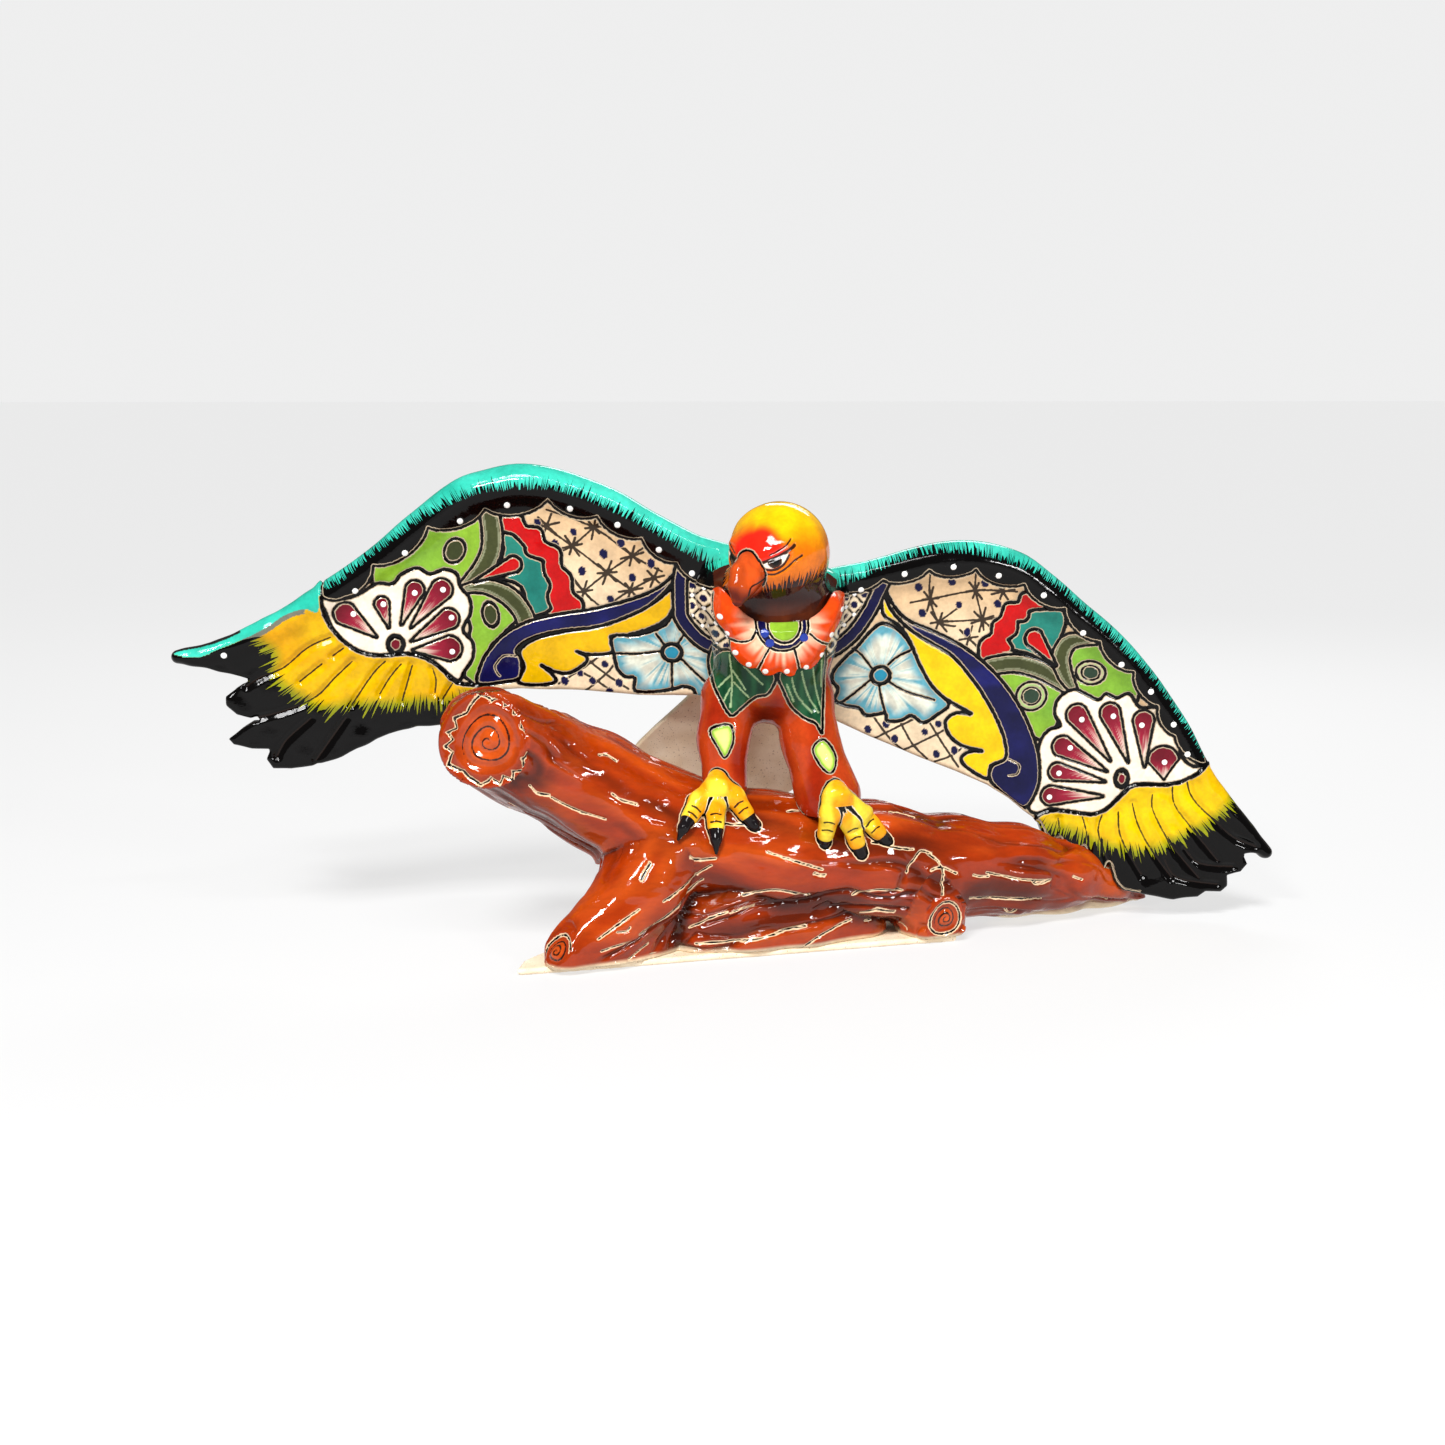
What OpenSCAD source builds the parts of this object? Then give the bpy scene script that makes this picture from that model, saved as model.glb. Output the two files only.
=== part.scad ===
// Glazed clay eagle with spread wings, perched on a hollow log. Sizes are in millimetres.
// X runs across the wings, -Y is the front that is painted, Z is up, and the origin is on the floor.
// Every sub-part is formed on its own from slabs, coils or hollow halves, then luted on with slip.

/* [Log] */
// Wall of the hollow log and roots
log_wall = 8; // [6:1:12]
// Thickness of the unglazed slab that closes the log underneath
base_t = 4; // [3:1:6]
// How far a sawn end stands proud of the log
saw_disc_t = 3; // [2:1:5]

/* [Bird] */
// Wall of the hollow torso and head
body_wall = 7; // [5:1:10]
// Radius of the skull
skull_r = 29; // [26:1:31]
// Thickness of the petal collar
collar_t = 5; // [3:1:7]
// Reach of the collar petals from the middle of the neck
collar_r = 37; // [33:1:40]
// Number of petals round the collar
collar_petals = 9; // [7:1:12]
// Radius of a toe at the ankle
toe_r = 7; // [5:0.5:8]
// Length of a claw
claw_l = 14; // [10:1:18]

/* [Wings] */
// Thickness of the wing slab
wing_t = 12; // [9:1:16]
// Thickness of the flight feathers
feather_t = 10; // [8:1:14]
// Thickest radius of the rolled leading edge
coil_r = 13; // [10:1:15]
// How far the middle of each wing bows back
wing_bow = 16; // [8:1:22]
// Thickness of the tail fan
tail_t = 9; // [7:1:12]

/* [Hidden] */

big = 900;                  // a size larger than the whole piece
ball_fn = 18;               // sides of the rounded clay forms
bird_x = 13;                // middle plane of the bird
wing_y = 12;                // depth of the wings at the shoulder and at the tip
wing_root = 35;             // half width of the torso where the wings start
wing_reach = 345;           // length of a wing from there
torso_seam_y = 1.5;         // depth of the seam between the torso's halves
slot_depth = 9;             // how far a wing root passes into the torso wall

// Axis of the log from the sawn left end to the thin right end: [x, y, z, radius]
LOG = [
    [-165, -48, 140, 32], [-138, -30, 122, 32], [-105, -22, 103, 33], [-60, -20, 75, 37],
    [10, -15, 56, 40], [77, -5, 50, 38], [128, 8, 42, 33], [172, 20, 36, 29]
];
LOG_TAPER = [[172, 20, 36, 29], [206, 36, 26, 22], [240, 50, 17, 14], [270, 52, 13, 8]];
ROOT_LEFT = [[-62, -30, 62, 34], [-73, -44, 42, 29], [-93, -60, 25, 20], [-119, -76, 13, 14]];
ROOT_FRONT = [[-36, -40, 18, 18], [-6, -34, 26, 22], [30, -24, 28, 22], [64, -12, 32, 20]];
ROOT_RIGHT = [[94, -4, 54, 26], [106, -12, 38, 22], [118, -22, 22, 16]];
ROOT_REAR = [[10, 5, 46, 30], [16, 26, 26, 24], [20, 44, 16, 15]];

// Corners of the base slab, seen from above
BASE = [
    [-152, -88], [131, -28], [137, 6], [110, 46], [45, 62], [-10, 60], [-70, 34], [-112, -12], [-148, -66]
];

// Rounded masses of the torso
BREAST = [12, -18, 204, 35];
BELLY = [10, -12, 178, 33];
BACK = [12, 8, 212, 34];
RUMP = [6, 18, 178, 28];
SHOULDERS = [[-18, 5, 226, 19], [43, 5, 219, 19]];
NECK = [[13, -18, 217, 29], [13, -33, 246, 26.5]];
SKULL = [12, -38, 252];

// Beak: a short hooked wedge that points to the left, forwards and down
BEAK_UPPER = [[-4, -58, 246, 12], [-9, -67, 240, 8.5], [-13, -74, 233, 5.2], [-15.5, -75, 227, 2.2]];
BEAK_LOWER = [[-2, -57, 238, 9], [-8, -66, 231, 4]];

LEG_LEFT = [[-15, -16, 158, 20], [-21, -24, 134, 15], [-20, -30, 106, 14]];
LEG_RIGHT = [[30, -16, 158, 20], [34, -24, 132, 17], [45, -30, 98, 21]];

// Toes, from the ankle to the root of the claw
TOES_LEFT = [
    [[-26, -45, 109], [-37, -48, 99], [-43, -56, 91]],
    [[-26, -46, 108], [-27, -48, 96], [-27, -54, 85]],
    [[-25, -45, 109], [-15, -45, 101], [-8, -47, 91]]
];
TOES_RIGHT = [
    [[46, -52, 103], [44, -53, 91], [42, -47, 77]],
    [[48, -52, 102], [57, -47, 85], [62, -44, 71]],
    [[50, -52, 103], [67, -42, 87], [76, -39, 76]]
];

// Wing outlines in X and Z: the top edge from shoulder to tip, the tips and notches, then the lower edge
EDGE_LEFT = [
    [-4, 250], [-60, 272], [-105, 295], [-150, 304], [-190, 291], [-235, 260], [-275, 230], [-320, 204], [-365, 186]
];
TIPS_LEFT = [[-322, 171], [-337, 155], [-316, 145], [-334, 129], [-309, 124], [-310, 112]];
LOWER_LEFT = [[-283, 111], [-235, 130], [-200, 136], [-180, 148], [-170, 158], [-124, 159], [-74, 156], [-20, 156]];
BORDER_LEFT = [[-284, 223], [-275, 194], [-256, 183], [-215, 179], [-200, 169], [-178, 148]];
EDGE_RIGHT = [
    [30, 232], [75, 240], [100, 249], [135, 255], [170, 248], [200, 227], [240, 194], [275, 154], [303, 108],
    [325, 77], [347, 47]
];
TIPS_RIGHT = [[329, 44], [318, 21], [308, 24], [303, 13], [292, 18], [280, 10]];
LOWER_RIGHT = [[259, 18], [230, 34], [206, 54], [181, 75], [156, 93], [112, 112], [76, 128], [40, 146]];
BORDER_RIGHT = [[302, 118], [282, 92], [251, 88], [229, 72], [204, 72], [190, 66]];

TAIL = [
    [-22, 172], [-42, 150], [-80, 108], [-72, 84], [-38, 72], [-8, 68], [18, 72], [38, 86], [44, 108], [34, 146], [24, 172]
];

// A point on the smooth curve through four points, with f from 0 to 1 between the middle two
function spline_point(a, b, c, d, f) =
    0.5 * (2 * b + (c - a) * f + (2 * a - 5 * b + 4 * c - d) * f * f + (3 * b - a - 3 * c + d) * f * f * f);

// The smooth curve through a list of points, with a few steps in each gap
function smooth_curve(p, steps) = concat(
    [for (i = [0:len(p) - 2], s = [0:steps - 1]) spline_point(
        p[max(i - 1, 0)], p[i], p[i + 1], p[min(i + 2, len(p) - 1)], s / steps)],
    [p[len(p) - 1]]
);

// Depth of a wing's middle surface at distance x along it
function wing_depth(x) =
    wing_y + wing_bow * sin(180 * min(max((abs(x - bird_x) - wing_root) / wing_reach, 0), 1));

// Radius of the leading-edge roll: thin at the shoulder and tip, thickest before the middle
function roll_radius(f) = coil_r * (0.56 + 0.44 * sin(180 * pow(1 - f, 1.5)));

// The middle line of the roll, which hangs below the top edge by its radius
function roll_middle(edge, steps) = let (path = smooth_curve(edge, steps), n = len(path) - 1)
    [for (i = [0:n]) [path[i][0], path[i][1] - roll_radius(i / n), roll_radius(i / n)]];

module ball(p, grow = 0) {
    translate([p[0], p[1], p[2]]) sphere(r = p[3] + grow, $fn = ball_fn);
}

// A fat rounded rope through a list of balls
module rope(balls, grow = 0) {
    for (i = [0:len(balls) - 2]) hull() {
        ball(balls[i], grow);
        ball(balls[i + 1], grow);
    }
}

// A root: each ball is carried straight down to the floor, so the foot of it has an upright wall
module root_form(balls, grow = 0) {
    for (i = [0:len(balls) - 2]) hull() for (b = [balls[i], balls[i + 1]]) {
        ball(b, grow);
        if (b[2] < 40) translate([b[0], b[1], 0]) cylinder(r = b[3] * 0.95 + grow, h = 4, $fn = ball_fn);
    }
}

// Makes one closed solid of its children, and changes no size
module luted() {
    resize([0, 0, 0]) children();
}

module above_base() {
    translate([-big / 2, -big / 2, base_t]) cube([big, big, big]);
}

// The sawn left end is cut off square to a line that points to the left and forwards
module left_saw_cut(proud = 0) {
    translate([-165, -61, 141]) rotate([4, 0, -17]) translate([-60, -60 - proud, -60]) cube([120, 60, 120]);
}

module log_form(grow = 0) {
    difference() {
        rope(LOG, grow);
        left_saw_cut(grow / 2);
    }
}

module taper_form() {
    rope(LOG_TAPER);
}

module roots_form() {
    root_form(ROOT_LEFT);
    root_form(ROOT_FRONT);
    root_form(ROOT_RIGHT);
    root_form(ROOT_REAR);
}

// The parting plane of the log, which follows its axis from the left end to the right one
module behind_log_axis() {
    translate([-160, -44, 0]) rotate([0, 0, 10]) translate([-big / 2, 0, -big / 2]) cube([big, big, big]);
}

module base_slab() {
    color("wheat") linear_extrude(base_t) polygon(BASE);
}

module log_wall_form() {
    intersection() {
        difference() {
            log_form();
            log_form(-log_wall);
            translate([172, 20, 36]) rotate([0, 0, 21]) translate([0, -60, -60]) cube([120, 120, 120]);
        }
        above_base();
    }
}

module log_front_shell() {
    color("chocolate") luted() difference() {
        log_wall_form();
        behind_log_axis();
    }
}

module log_back_shell() {
    color("chocolate") luted() intersection() {
        log_wall_form();
        behind_log_axis();
    }
}

module log_left_sawn_end() {
    color("sienna") translate([-165, -61, 141]) rotate([94, 0, -17])
        cylinder(r1 = 26, r2 = 24, h = saw_disc_t, $fn = 64);
}

module log_right_taper() {
    color("chocolate") luted() difference() {
        taper_form();
        log_form();
        wing_solid(EDGE_RIGHT, TIPS_RIGHT, LOWER_RIGHT, wing_t);
        translate([-big / 2, -big / 2, -big]) cube([big, big, big + 1]);
    }
}

module root_left() {
    color("chocolate") luted() difference() {
        intersection() {
            root_form(ROOT_LEFT);
            above_base();
        }
        log_form();
    }
}

// A sawn root end: a low disc whose face looks along the direction [x, y, z] turns
module sawn_disc(at, turn, r) {
    translate(at) rotate(turn) cylinder(r1 = r, r2 = r * 0.9, h = saw_disc_t, $fn = 48);
}

module root_left_sawn_end() {
    color("sienna") luted() difference() {
        intersection() {
            sawn_disc([-127, -81, 19], [60, 0, -58], 10);
            above_base();
        }
        root_form(ROOT_LEFT);
    }
}

module root_front() {
    color("chocolate") luted() difference() {
        intersection() {
            root_form(ROOT_FRONT);
            above_base();
        }
        log_form();
        root_form(ROOT_LEFT);
        root_form(ROOT_RIGHT);
    }
}

module root_right() {
    color("chocolate") luted() difference() {
        intersection() {
            root_form(ROOT_RIGHT);
            above_base();
        }
        log_form();
    }
}

module root_right_sawn_end() {
    color("sienna") luted() difference() {
        intersection() {
            sawn_disc([122, -33.5, 19], [93, 0, 17], 11);
            above_base();
        }
        root_form(ROOT_RIGHT);
        root_form(ROOT_FRONT);
    }
}

module root_rear() {
    color("chocolate") luted() difference() {
        intersection() {
            root_form(ROOT_REAR);
            above_base();
        }
        log_form();
        root_form(ROOT_LEFT);
        root_form(ROOT_FRONT);
    }
}

module torso_form(grow = 0) {
    hull() for (b = [BREAST, BELLY, BACK, RUMP]) ball(b, grow);
    hull() for (b = [SHOULDERS[0], SHOULDERS[1], BREAST, BACK]) ball(b, grow);
}

module neck_form(grow = 0) {
    rope(NECK, grow);
}

module skull_form(grow = 0) {
    hull() {
        ball([SKULL[0], SKULL[1], SKULL[2], skull_r], grow);
        ball([SKULL[0] + 2, SKULL[1] + 5, SKULL[2] + 1, skull_r - 1], grow);
        ball([SKULL[0] - 4, SKULL[1] - 8, SKULL[2] - 3, skull_r - 8], grow);
    }
}

module legs_form() {
    rope(LEG_LEFT);
    rope(LEG_RIGHT);
}

// The torso wall, open at the neck, with a slot for each wing root and one for the tail
module torso_wall_form() {
    difference() {
        torso_form();
        torso_form(-body_wall);
        neck_form();
        wings_form();
        tail_form();
    }
}

module behind_torso_seam() {
    translate([-big / 2, torso_seam_y, 0]) cube([big, big, big]);
}

module torso_front_shell() {
    color("orangered") luted() difference() {
        torso_wall_form();
        behind_torso_seam();
    }
}

module torso_back_shell() {
    color("tan") luted() intersection() {
        torso_wall_form();
        behind_torso_seam();
    }
}

module neck_ring() {
    color("saddlebrown") luted() difference() {
        neck_form();
        neck_form(-body_wall);
        skull_form();
        torso_form(-body_wall);
    }
}

// The head is hollow, and open to the neck so that steam can leave in the kiln
module head_shell() {
    color("orange") luted() difference() {
        skull_form();
        skull_form(-body_wall);
        neck_form(-body_wall);
    }
}

module beak_upper() {
    color("firebrick") luted() difference() {
        rope(BEAK_UPPER);
        skull_form();
    }
}

module beak_lower() {
    color("brown") luted() difference() {
        rope(BEAK_LOWER);
        rope(BEAK_UPPER);
        skull_form();
        neck_form();
    }
}

// Petals radiate from the neck, between straight up on one side and straight up on the other
module collar_outline() {
    for (i = [0:collar_petals - 1]) rotate(195 + (i + 0.5) * 150 / collar_petals) hull() {
        circle(r = 6, $fn = 24);
        translate([collar_r - 9, 0]) circle(r = 9, $fn = 24);
    }
}

module petal_collar() {
    color("coral") luted() difference() {
        intersection() {
            torso_form(collar_t);
            translate([12, 0, 213]) rotate([90, 0, 0]) linear_extrude(80) collar_outline();
        }
        torso_form();
        neck_form(0.5);
        skull_form(1);
    }
}

module leg(balls) {
    color("chocolate") luted() difference() {
        rope(balls);
        torso_form();
        log_form();
        tail_form();
    }
}

module leg_left() {
    leg(LEG_LEFT);
}

module leg_right() {
    leg(LEG_RIGHT);
}

// One toe, thick at the ankle and thinner towards the claw
module toe(joints) {
    for (i = [0:len(joints) - 2]) hull() {
        translate(joints[i]) sphere(r = toe_r - 0.7 * i, $fn = 12);
        translate(joints[i + 1]) sphere(r = toe_r - 0.7 * (i + 1), $fn = 12);
    }
}

module foot(toes, leg_balls) {
    color("gold") luted() difference() {
        for (t = toes) toe(t);
        log_form();
        rope(leg_balls);
    }
}

module foot_left() {
    foot(TOES_LEFT, LEG_LEFT);
}

module foot_right() {
    foot(TOES_RIGHT, LEG_RIGHT);
}

// A claw hooks on from the last joint of its toe, in the toe's own direction
module claw(joints) {
    last = joints[len(joints) - 1];
    before = joints[len(joints) - 2];
    aim = (last - before) / norm(last - before);
    hull() {
        translate(last + aim * 3) sphere(r = toe_r - 2.5, $fn = 12);
        translate(last + aim * claw_l) sphere(r = 1.5, $fn = 12);
    }
}

module claws(toes) {
    color("black") luted() difference() {
        for (t = toes) claw(t);
        for (t = toes) toe(t);
        log_form();
    }
}

module claws_left() {
    claws(TOES_LEFT);
}

module claws_right() {
    claws(TOES_RIGHT);
}

// A slab of even thickness that follows the bow of the wings, from below the floor to above the bird
module bowed_sheet(t) {
    xs = [for (i = [-12:12]) bird_x + i * (wing_root + wing_reach) / 12];
    translate([0, 0, -10]) linear_extrude(340) polygon(concat(
        [for (x = xs) [x, wing_depth(x) - t / 2]],
        [for (i = [len(xs) - 1:-1:0]) [xs[i], wing_depth(xs[i]) + t / 2]]
    ));
}

module standing(outline) {
    translate([0, 100, 0]) rotate([90, 0, 0]) linear_extrude(200) polygon(outline);
}

module wing_solid(edge, tips, lower, t) {
    intersection() {
        bowed_sheet(t);
        standing(concat([for (p = roll_middle(edge, 3)) [p[0], p[1]]], tips, lower));
    }
}

// The ground outside the border is feathers, and inside it is the painted panel
module feather_zone(border) {
    out = border[0][0] < bird_x ? -400 : 400;
    standing(concat([[out, 330]], [[border[0][0], 330]], border, [[border[len(border) - 1][0], -10]], [[out, -10]]));
}

module coil_form(edge) {
    middle = roll_middle(edge, 2);
    for (i = [0:len(middle) - 2]) hull() for (p = [middle[i], middle[i + 1]])
        translate([p[0], wing_depth(p[0]), p[1]]) sphere(r = p[2], $fn = 14);
}

// Both whole wings, whose roots cut the slots in the torso wall
module wings_form() {
    wing_solid(EDGE_LEFT, TIPS_LEFT, LOWER_LEFT, wing_t);
    wing_solid(EDGE_RIGHT, TIPS_RIGHT, LOWER_RIGHT, wing_t);
    coil_form(EDGE_LEFT);
    coil_form(EDGE_RIGHT);
}

module wing_panel(edge, tips, lower, border) {
    luted() difference() {
        wing_solid(edge, tips, lower, wing_t);
        feather_zone(border);
        coil_form(edge);
        torso_form(-slot_depth);
        log_form();
        neck_form();
    }
}

module wing_coil(edge) {
    luted() difference() {
        coil_form(edge);
        torso_form(-slot_depth);
        neck_form();
        skull_form();
    }
}

module wing_feathers(edge, tips, lower, border) {
    luted() difference() {
        intersection() {
            wing_solid(edge, tips, lower, feather_t);
            feather_zone(border);
        }
        coil_form(edge);
        log_form();
        above_floor_cut();
    }
}

// Nothing of a wing may reach the floor
module above_floor_cut() {
    translate([-big / 2, -big / 2, -big]) cube([big, big, big + 5]);
}

module wing_left_panel() {
    color("ivory") wing_panel(EDGE_LEFT, TIPS_LEFT, LOWER_LEFT, BORDER_LEFT);
}

module wing_left_coil() {
    color("turquoise") wing_coil(EDGE_LEFT);
}

module wing_left_feathers() {
    color("yellow") wing_feathers(EDGE_LEFT, TIPS_LEFT, LOWER_LEFT, BORDER_LEFT);
}

module wing_right_panel() {
    color("ivory") wing_panel(EDGE_RIGHT, TIPS_RIGHT, LOWER_RIGHT, BORDER_RIGHT);
}

module wing_right_coil() {
    color("turquoise") wing_coil(EDGE_RIGHT);
}

module wing_right_feathers() {
    color("yellow") wing_feathers(EDGE_RIGHT, TIPS_RIGHT, LOWER_RIGHT, BORDER_RIGHT);
}

// The fan leans back and down from the rump
module tail_form() {
    intersection() {
        translate([0, 24, 178]) rotate([28, 0, 0]) translate([-big / 2, -tail_t / 2, -130])
            cube([big, tail_t, 140]);
        translate([0, 60, 0]) standing(smooth_curve(TAIL, 3));
    }
}

module tail_fan() {
    color("wheat") luted() difference() {
        tail_form();
        log_form();
        torso_form(-slot_depth);
    }
}

base_slab();
log_front_shell();
log_back_shell();
log_left_sawn_end();
log_right_taper();
root_left();
root_left_sawn_end();
root_front();
root_right();
root_right_sawn_end();
root_rear();
torso_front_shell();
torso_back_shell();
neck_ring();
head_shell();
beak_upper();
beak_lower();
petal_collar();
leg_left();
leg_right();
foot_left();
foot_right();
claws_left();
claws_right();
wing_left_panel();
wing_left_coil();
wing_left_feathers();
wing_right_panel();
wing_right_coil();
wing_right_feathers();
tail_fan();
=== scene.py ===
"""A glazed clay eagle on a log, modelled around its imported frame.

Forms are distance fields in millimetres, meshed here and scaled to metres. The hand painting is drawn
as distances on the surface: "Col" is the glaze colour, "ink", "pen" and "dot" are the distances to a brushed
outline, a scratched line and a white slip dot, and "run" with "dark" place the brushed hatching.
"""
import math
from itertools import combinations, product

import bpy
import numpy as np
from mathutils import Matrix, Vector


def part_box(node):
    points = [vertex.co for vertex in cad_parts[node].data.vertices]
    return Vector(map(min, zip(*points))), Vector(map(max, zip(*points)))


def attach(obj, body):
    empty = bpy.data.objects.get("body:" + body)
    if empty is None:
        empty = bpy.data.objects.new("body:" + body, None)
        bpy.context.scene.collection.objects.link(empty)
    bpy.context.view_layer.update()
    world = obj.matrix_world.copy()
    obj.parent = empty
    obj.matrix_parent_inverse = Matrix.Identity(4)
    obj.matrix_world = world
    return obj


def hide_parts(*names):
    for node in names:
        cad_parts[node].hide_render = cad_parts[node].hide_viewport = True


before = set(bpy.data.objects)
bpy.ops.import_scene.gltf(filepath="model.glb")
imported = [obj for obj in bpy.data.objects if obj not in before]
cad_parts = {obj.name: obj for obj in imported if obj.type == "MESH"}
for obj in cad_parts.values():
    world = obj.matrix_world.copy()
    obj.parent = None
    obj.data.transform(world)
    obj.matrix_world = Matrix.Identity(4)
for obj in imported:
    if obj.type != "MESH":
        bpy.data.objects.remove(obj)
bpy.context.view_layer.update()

MM = 0.001
FAR = 9.0                       # a distance in mm past which no outline or dot shows
OUTSIDE = 1e3                   # far outside a painted shape
NO_HATCH = -60.0                # a layer of brushed hatching that reaches nothing
rng = np.random.default_rng(20)

# ---------------------------------------------------------------- places and sizes, in mm

BIRD_X = 13.0                   # middle plane of the bird
WING_Y = 12.0                   # depth of the wings at shoulder and tip
WING_BOW = 16.0                 # how far back they bow between the two
WING_ROOT = 35.0                # where the bow starts, from the bird's middle plane
WING_REACH = 345.0              # and its length from there
BASE_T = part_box("base_slab")[1][2] / MM
ROOT_FOOT = 30.0                # a root's end below this height goes straight down

LOG = [(-165, -48, 140, 32), (-138, -30, 122, 32), (-105, -22, 103, 33), (-60, -20, 75, 37),
    (10, -15, 56, 40), (77, -5, 50, 38), (128, 8, 42, 33), (172, 18, 36, 30), (206, 32, 28, 25),
    (240, 46, 19, 17), (266, 52, 13, 9)]
ROOTS = [
    [(-62, -30, 62, 34), (-73, -44, 42, 29), (-93, -60, 25, 20), (-119, -76, 13, 14)],
    [(-36, -40, 18, 18), (-6, -34, 26, 22), (30, -24, 28, 22), (64, -12, 32, 20)],
    [(94, -4, 54, 26), (106, -12, 38, 22), (118, -22, 22, 16)],
    [(10, 5, 46, 30), (16, 26, 26, 24), (20, 44, 16, 15)],
]

# ---------------------------------------------------------------- small maths


def vec(*v):
    """Numbers as one array."""
    return np.array(v, float)


def smooth_min(a, b, k):
    """The lesser of two distances, rounded over k mm where they are alike."""
    h = np.clip(0.5 + 0.5 * (b - a) / k, 0, 1)
    return b + (a - b) * h - k * h * (1 - h)


def smooth_max(a, b, k):
    return -smooth_min(-a, -b, k)


def step_between(lo, hi, x):
    """A smooth step from 0 at lo to 1 at hi; lo may be the greater."""
    t = np.clip((x - lo) / (hi - lo), 0, 1)
    return t * t * (3 - 2 * t)


def mix(a, b, t):
    return a + (b - a) * t


def tint(a, b, t):
    """Colours between a and b, one for each number in t."""
    return mix(a, b, t[:, None])


def spline(points, steps=6, closed=False):
    """The smooth curve through a few given points."""
    p = np.asarray(points, float)
    n = len(p)
    out = []
    for i in range(n if closed else n - 1):
        if closed:
            a, b, c, d = (p[(i + j) % n] for j in (-1, 0, 1, 2))
        else:
            a, b, c, d = p[max(i - 1, 0)], p[i], p[i + 1], p[min(i + 2, n - 1)]
        for f in np.arange(steps) / steps:
            out.append(0.5 * (2 * b + (c - a) * f + (2 * a - 5 * b + 4 * c - d) * f**2
                              + (3 * b - a - 3 * c + d) * f**3))
    if not closed:
        out.append(p[-1])
    return np.array(out)


NOISE = rng.random((32, 32, 32)).astype(np.float32)


def noise(p, size):
    """Smooth noise from 0 to 1 at points p, with lumps of about the given size; size may differ by axis."""
    q = np.asarray(p) / np.asarray(size, float)
    base = np.floor(q).astype(int)
    f = q - base
    f = f * f * (3 - 2 * f)
    total = 0
    for corner in product((0, 1), repeat=3):
        at = (base + corner) % 32
        weight = np.prod([f[:, i] if corner[i] else 1 - f[:, i] for i in range(3)], axis=0)
        total = total + weight * NOISE[at[:, 0], at[:, 1], at[:, 2]]
    return total


# ---------------------------------------------------------------- fields in space


def capsule(p, a, b):
    """Distance to a rounded cone between two balls, each (x, y, z, radius)."""
    a, b = np.asarray(a, float), np.asarray(b, float)
    run = b[:3] - a[:3]
    t = np.clip((p - a[:3]) @ run / (run @ run), 0, 1)
    away = np.linalg.norm(p - a[:3] - t[:, None] * run, axis=1)
    return away - (a[3] + t * (b[3] - a[3]))


def rope(p, balls, k=6.0):
    """Distance to a chain of rounded cones, blended over k mm where they meet."""
    d = None
    for a, b in zip(balls, balls[1:]):
        s = capsule(p, a, b)
        d = s if d is None else smooth_min(d, s, k)
    return d


def root(p, balls):
    """A root whose foot goes straight down to the floor."""
    d = None
    for a, b in zip(balls, balls[1:]):
        low = min(a[2], b[2])
        q = p.copy()
        q[:, 2] = np.maximum(q[:, 2], low if low < ROOT_FOOT else 0)
        s = capsule(q, a, b)
        d = s if d is None else smooth_min(d, s, 8)
    return d


def half_space(p, at, normal):
    """Distance past a plane, on the side that its normal points to."""
    n = np.asarray(normal, float)
    return (p - np.asarray(at, float)) @ (n / np.linalg.norm(n))


def rounded(side, through, r):
    """Distance to a slab with edges rounded by r, from the distances past its core, which is smaller by r."""
    beyond = np.hypot(np.maximum(side, 0), np.maximum(through, 0))
    return beyond + np.minimum(np.maximum(side, through), 0) - r


STUB_FACE = ((-165, -64, 141), (-0.29, -0.95, 0.07))
LEFT_ROOT_FACE = ((-125, -83, 14), (-0.66, -0.52, 0.54))
RIGHT_ROOT_FACE = ((121, -32, 17), (0.30, -0.95, -0.05))
# Each sawn end: its face, the reach of its rings, and the points of the zigzag round them
SAWN_ENDS = ((STUB_FACE, 27, 13), (LEFT_ROOT_FACE, 12, 0), (RIGHT_ROOT_FACE, 12, 0))
FRONT_ROOT = 2                  # the front root's place among the log and its roots
BRANCH_GAP = 400.0              # keeps each branch's distances along it apart from the others'


def log_field(p):
    """The log with its four roots, cut at the stub and at two of the roots."""
    d = rope(p, LOG, 10)
    d = smooth_max(d, half_space(p, *STUB_FACE), 3)
    for balls, face, crease in zip(ROOTS, (LEFT_ROOT_FACE, None, RIGHT_ROOT_FACE, None), (8, 2.5, 9, 8)):
        s = root(p, balls)
        if face:
            s = smooth_max(s, half_space(p, *face), 3)
        d = smooth_min(d, s, crease)
    return smooth_max(d, BASE_T - p[:, 2], 1.0)


BREAST, BELLY, BACK, RUMP = (12, -18, 204, 35), (10, -12, 178, 33), (12, 8, 212, 34), (6, 14, 182, 26)
SHOULDERS = [(-18, 6, 224, 17), (42, 6, 218, 17)]
LEGS = [[(-15, -16, 158, 20), (-21, -24, 134, 15), (-20, -30, 106, 14)],
        [(30, -16, 158, 20), (34, -24, 132, 17), (45, -30, 98, 21)]]
NECK = [(13, -18, 217, 27), (13, -33, 246, 26)]
NECK_TOP = 228.0                # height where the neck ring meets the head
NECK_LOW = 210.0                # and its lower edge, inside the shoulders
SKULL = (12, -38, 252)
SKULL_R = 29.0


def torso_field(p):
    """The body with its shoulders and legs."""
    d = rope(p, [BREAST, BELLY, RUMP, BACK, BREAST], 14)
    for s in SHOULDERS:
        d = smooth_min(d, rope(p, [BREAST, s, BACK], 12), 12)
    for balls in LEGS:
        d = smooth_min(d, rope(p, balls, 8), 6)
    return d


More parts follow.
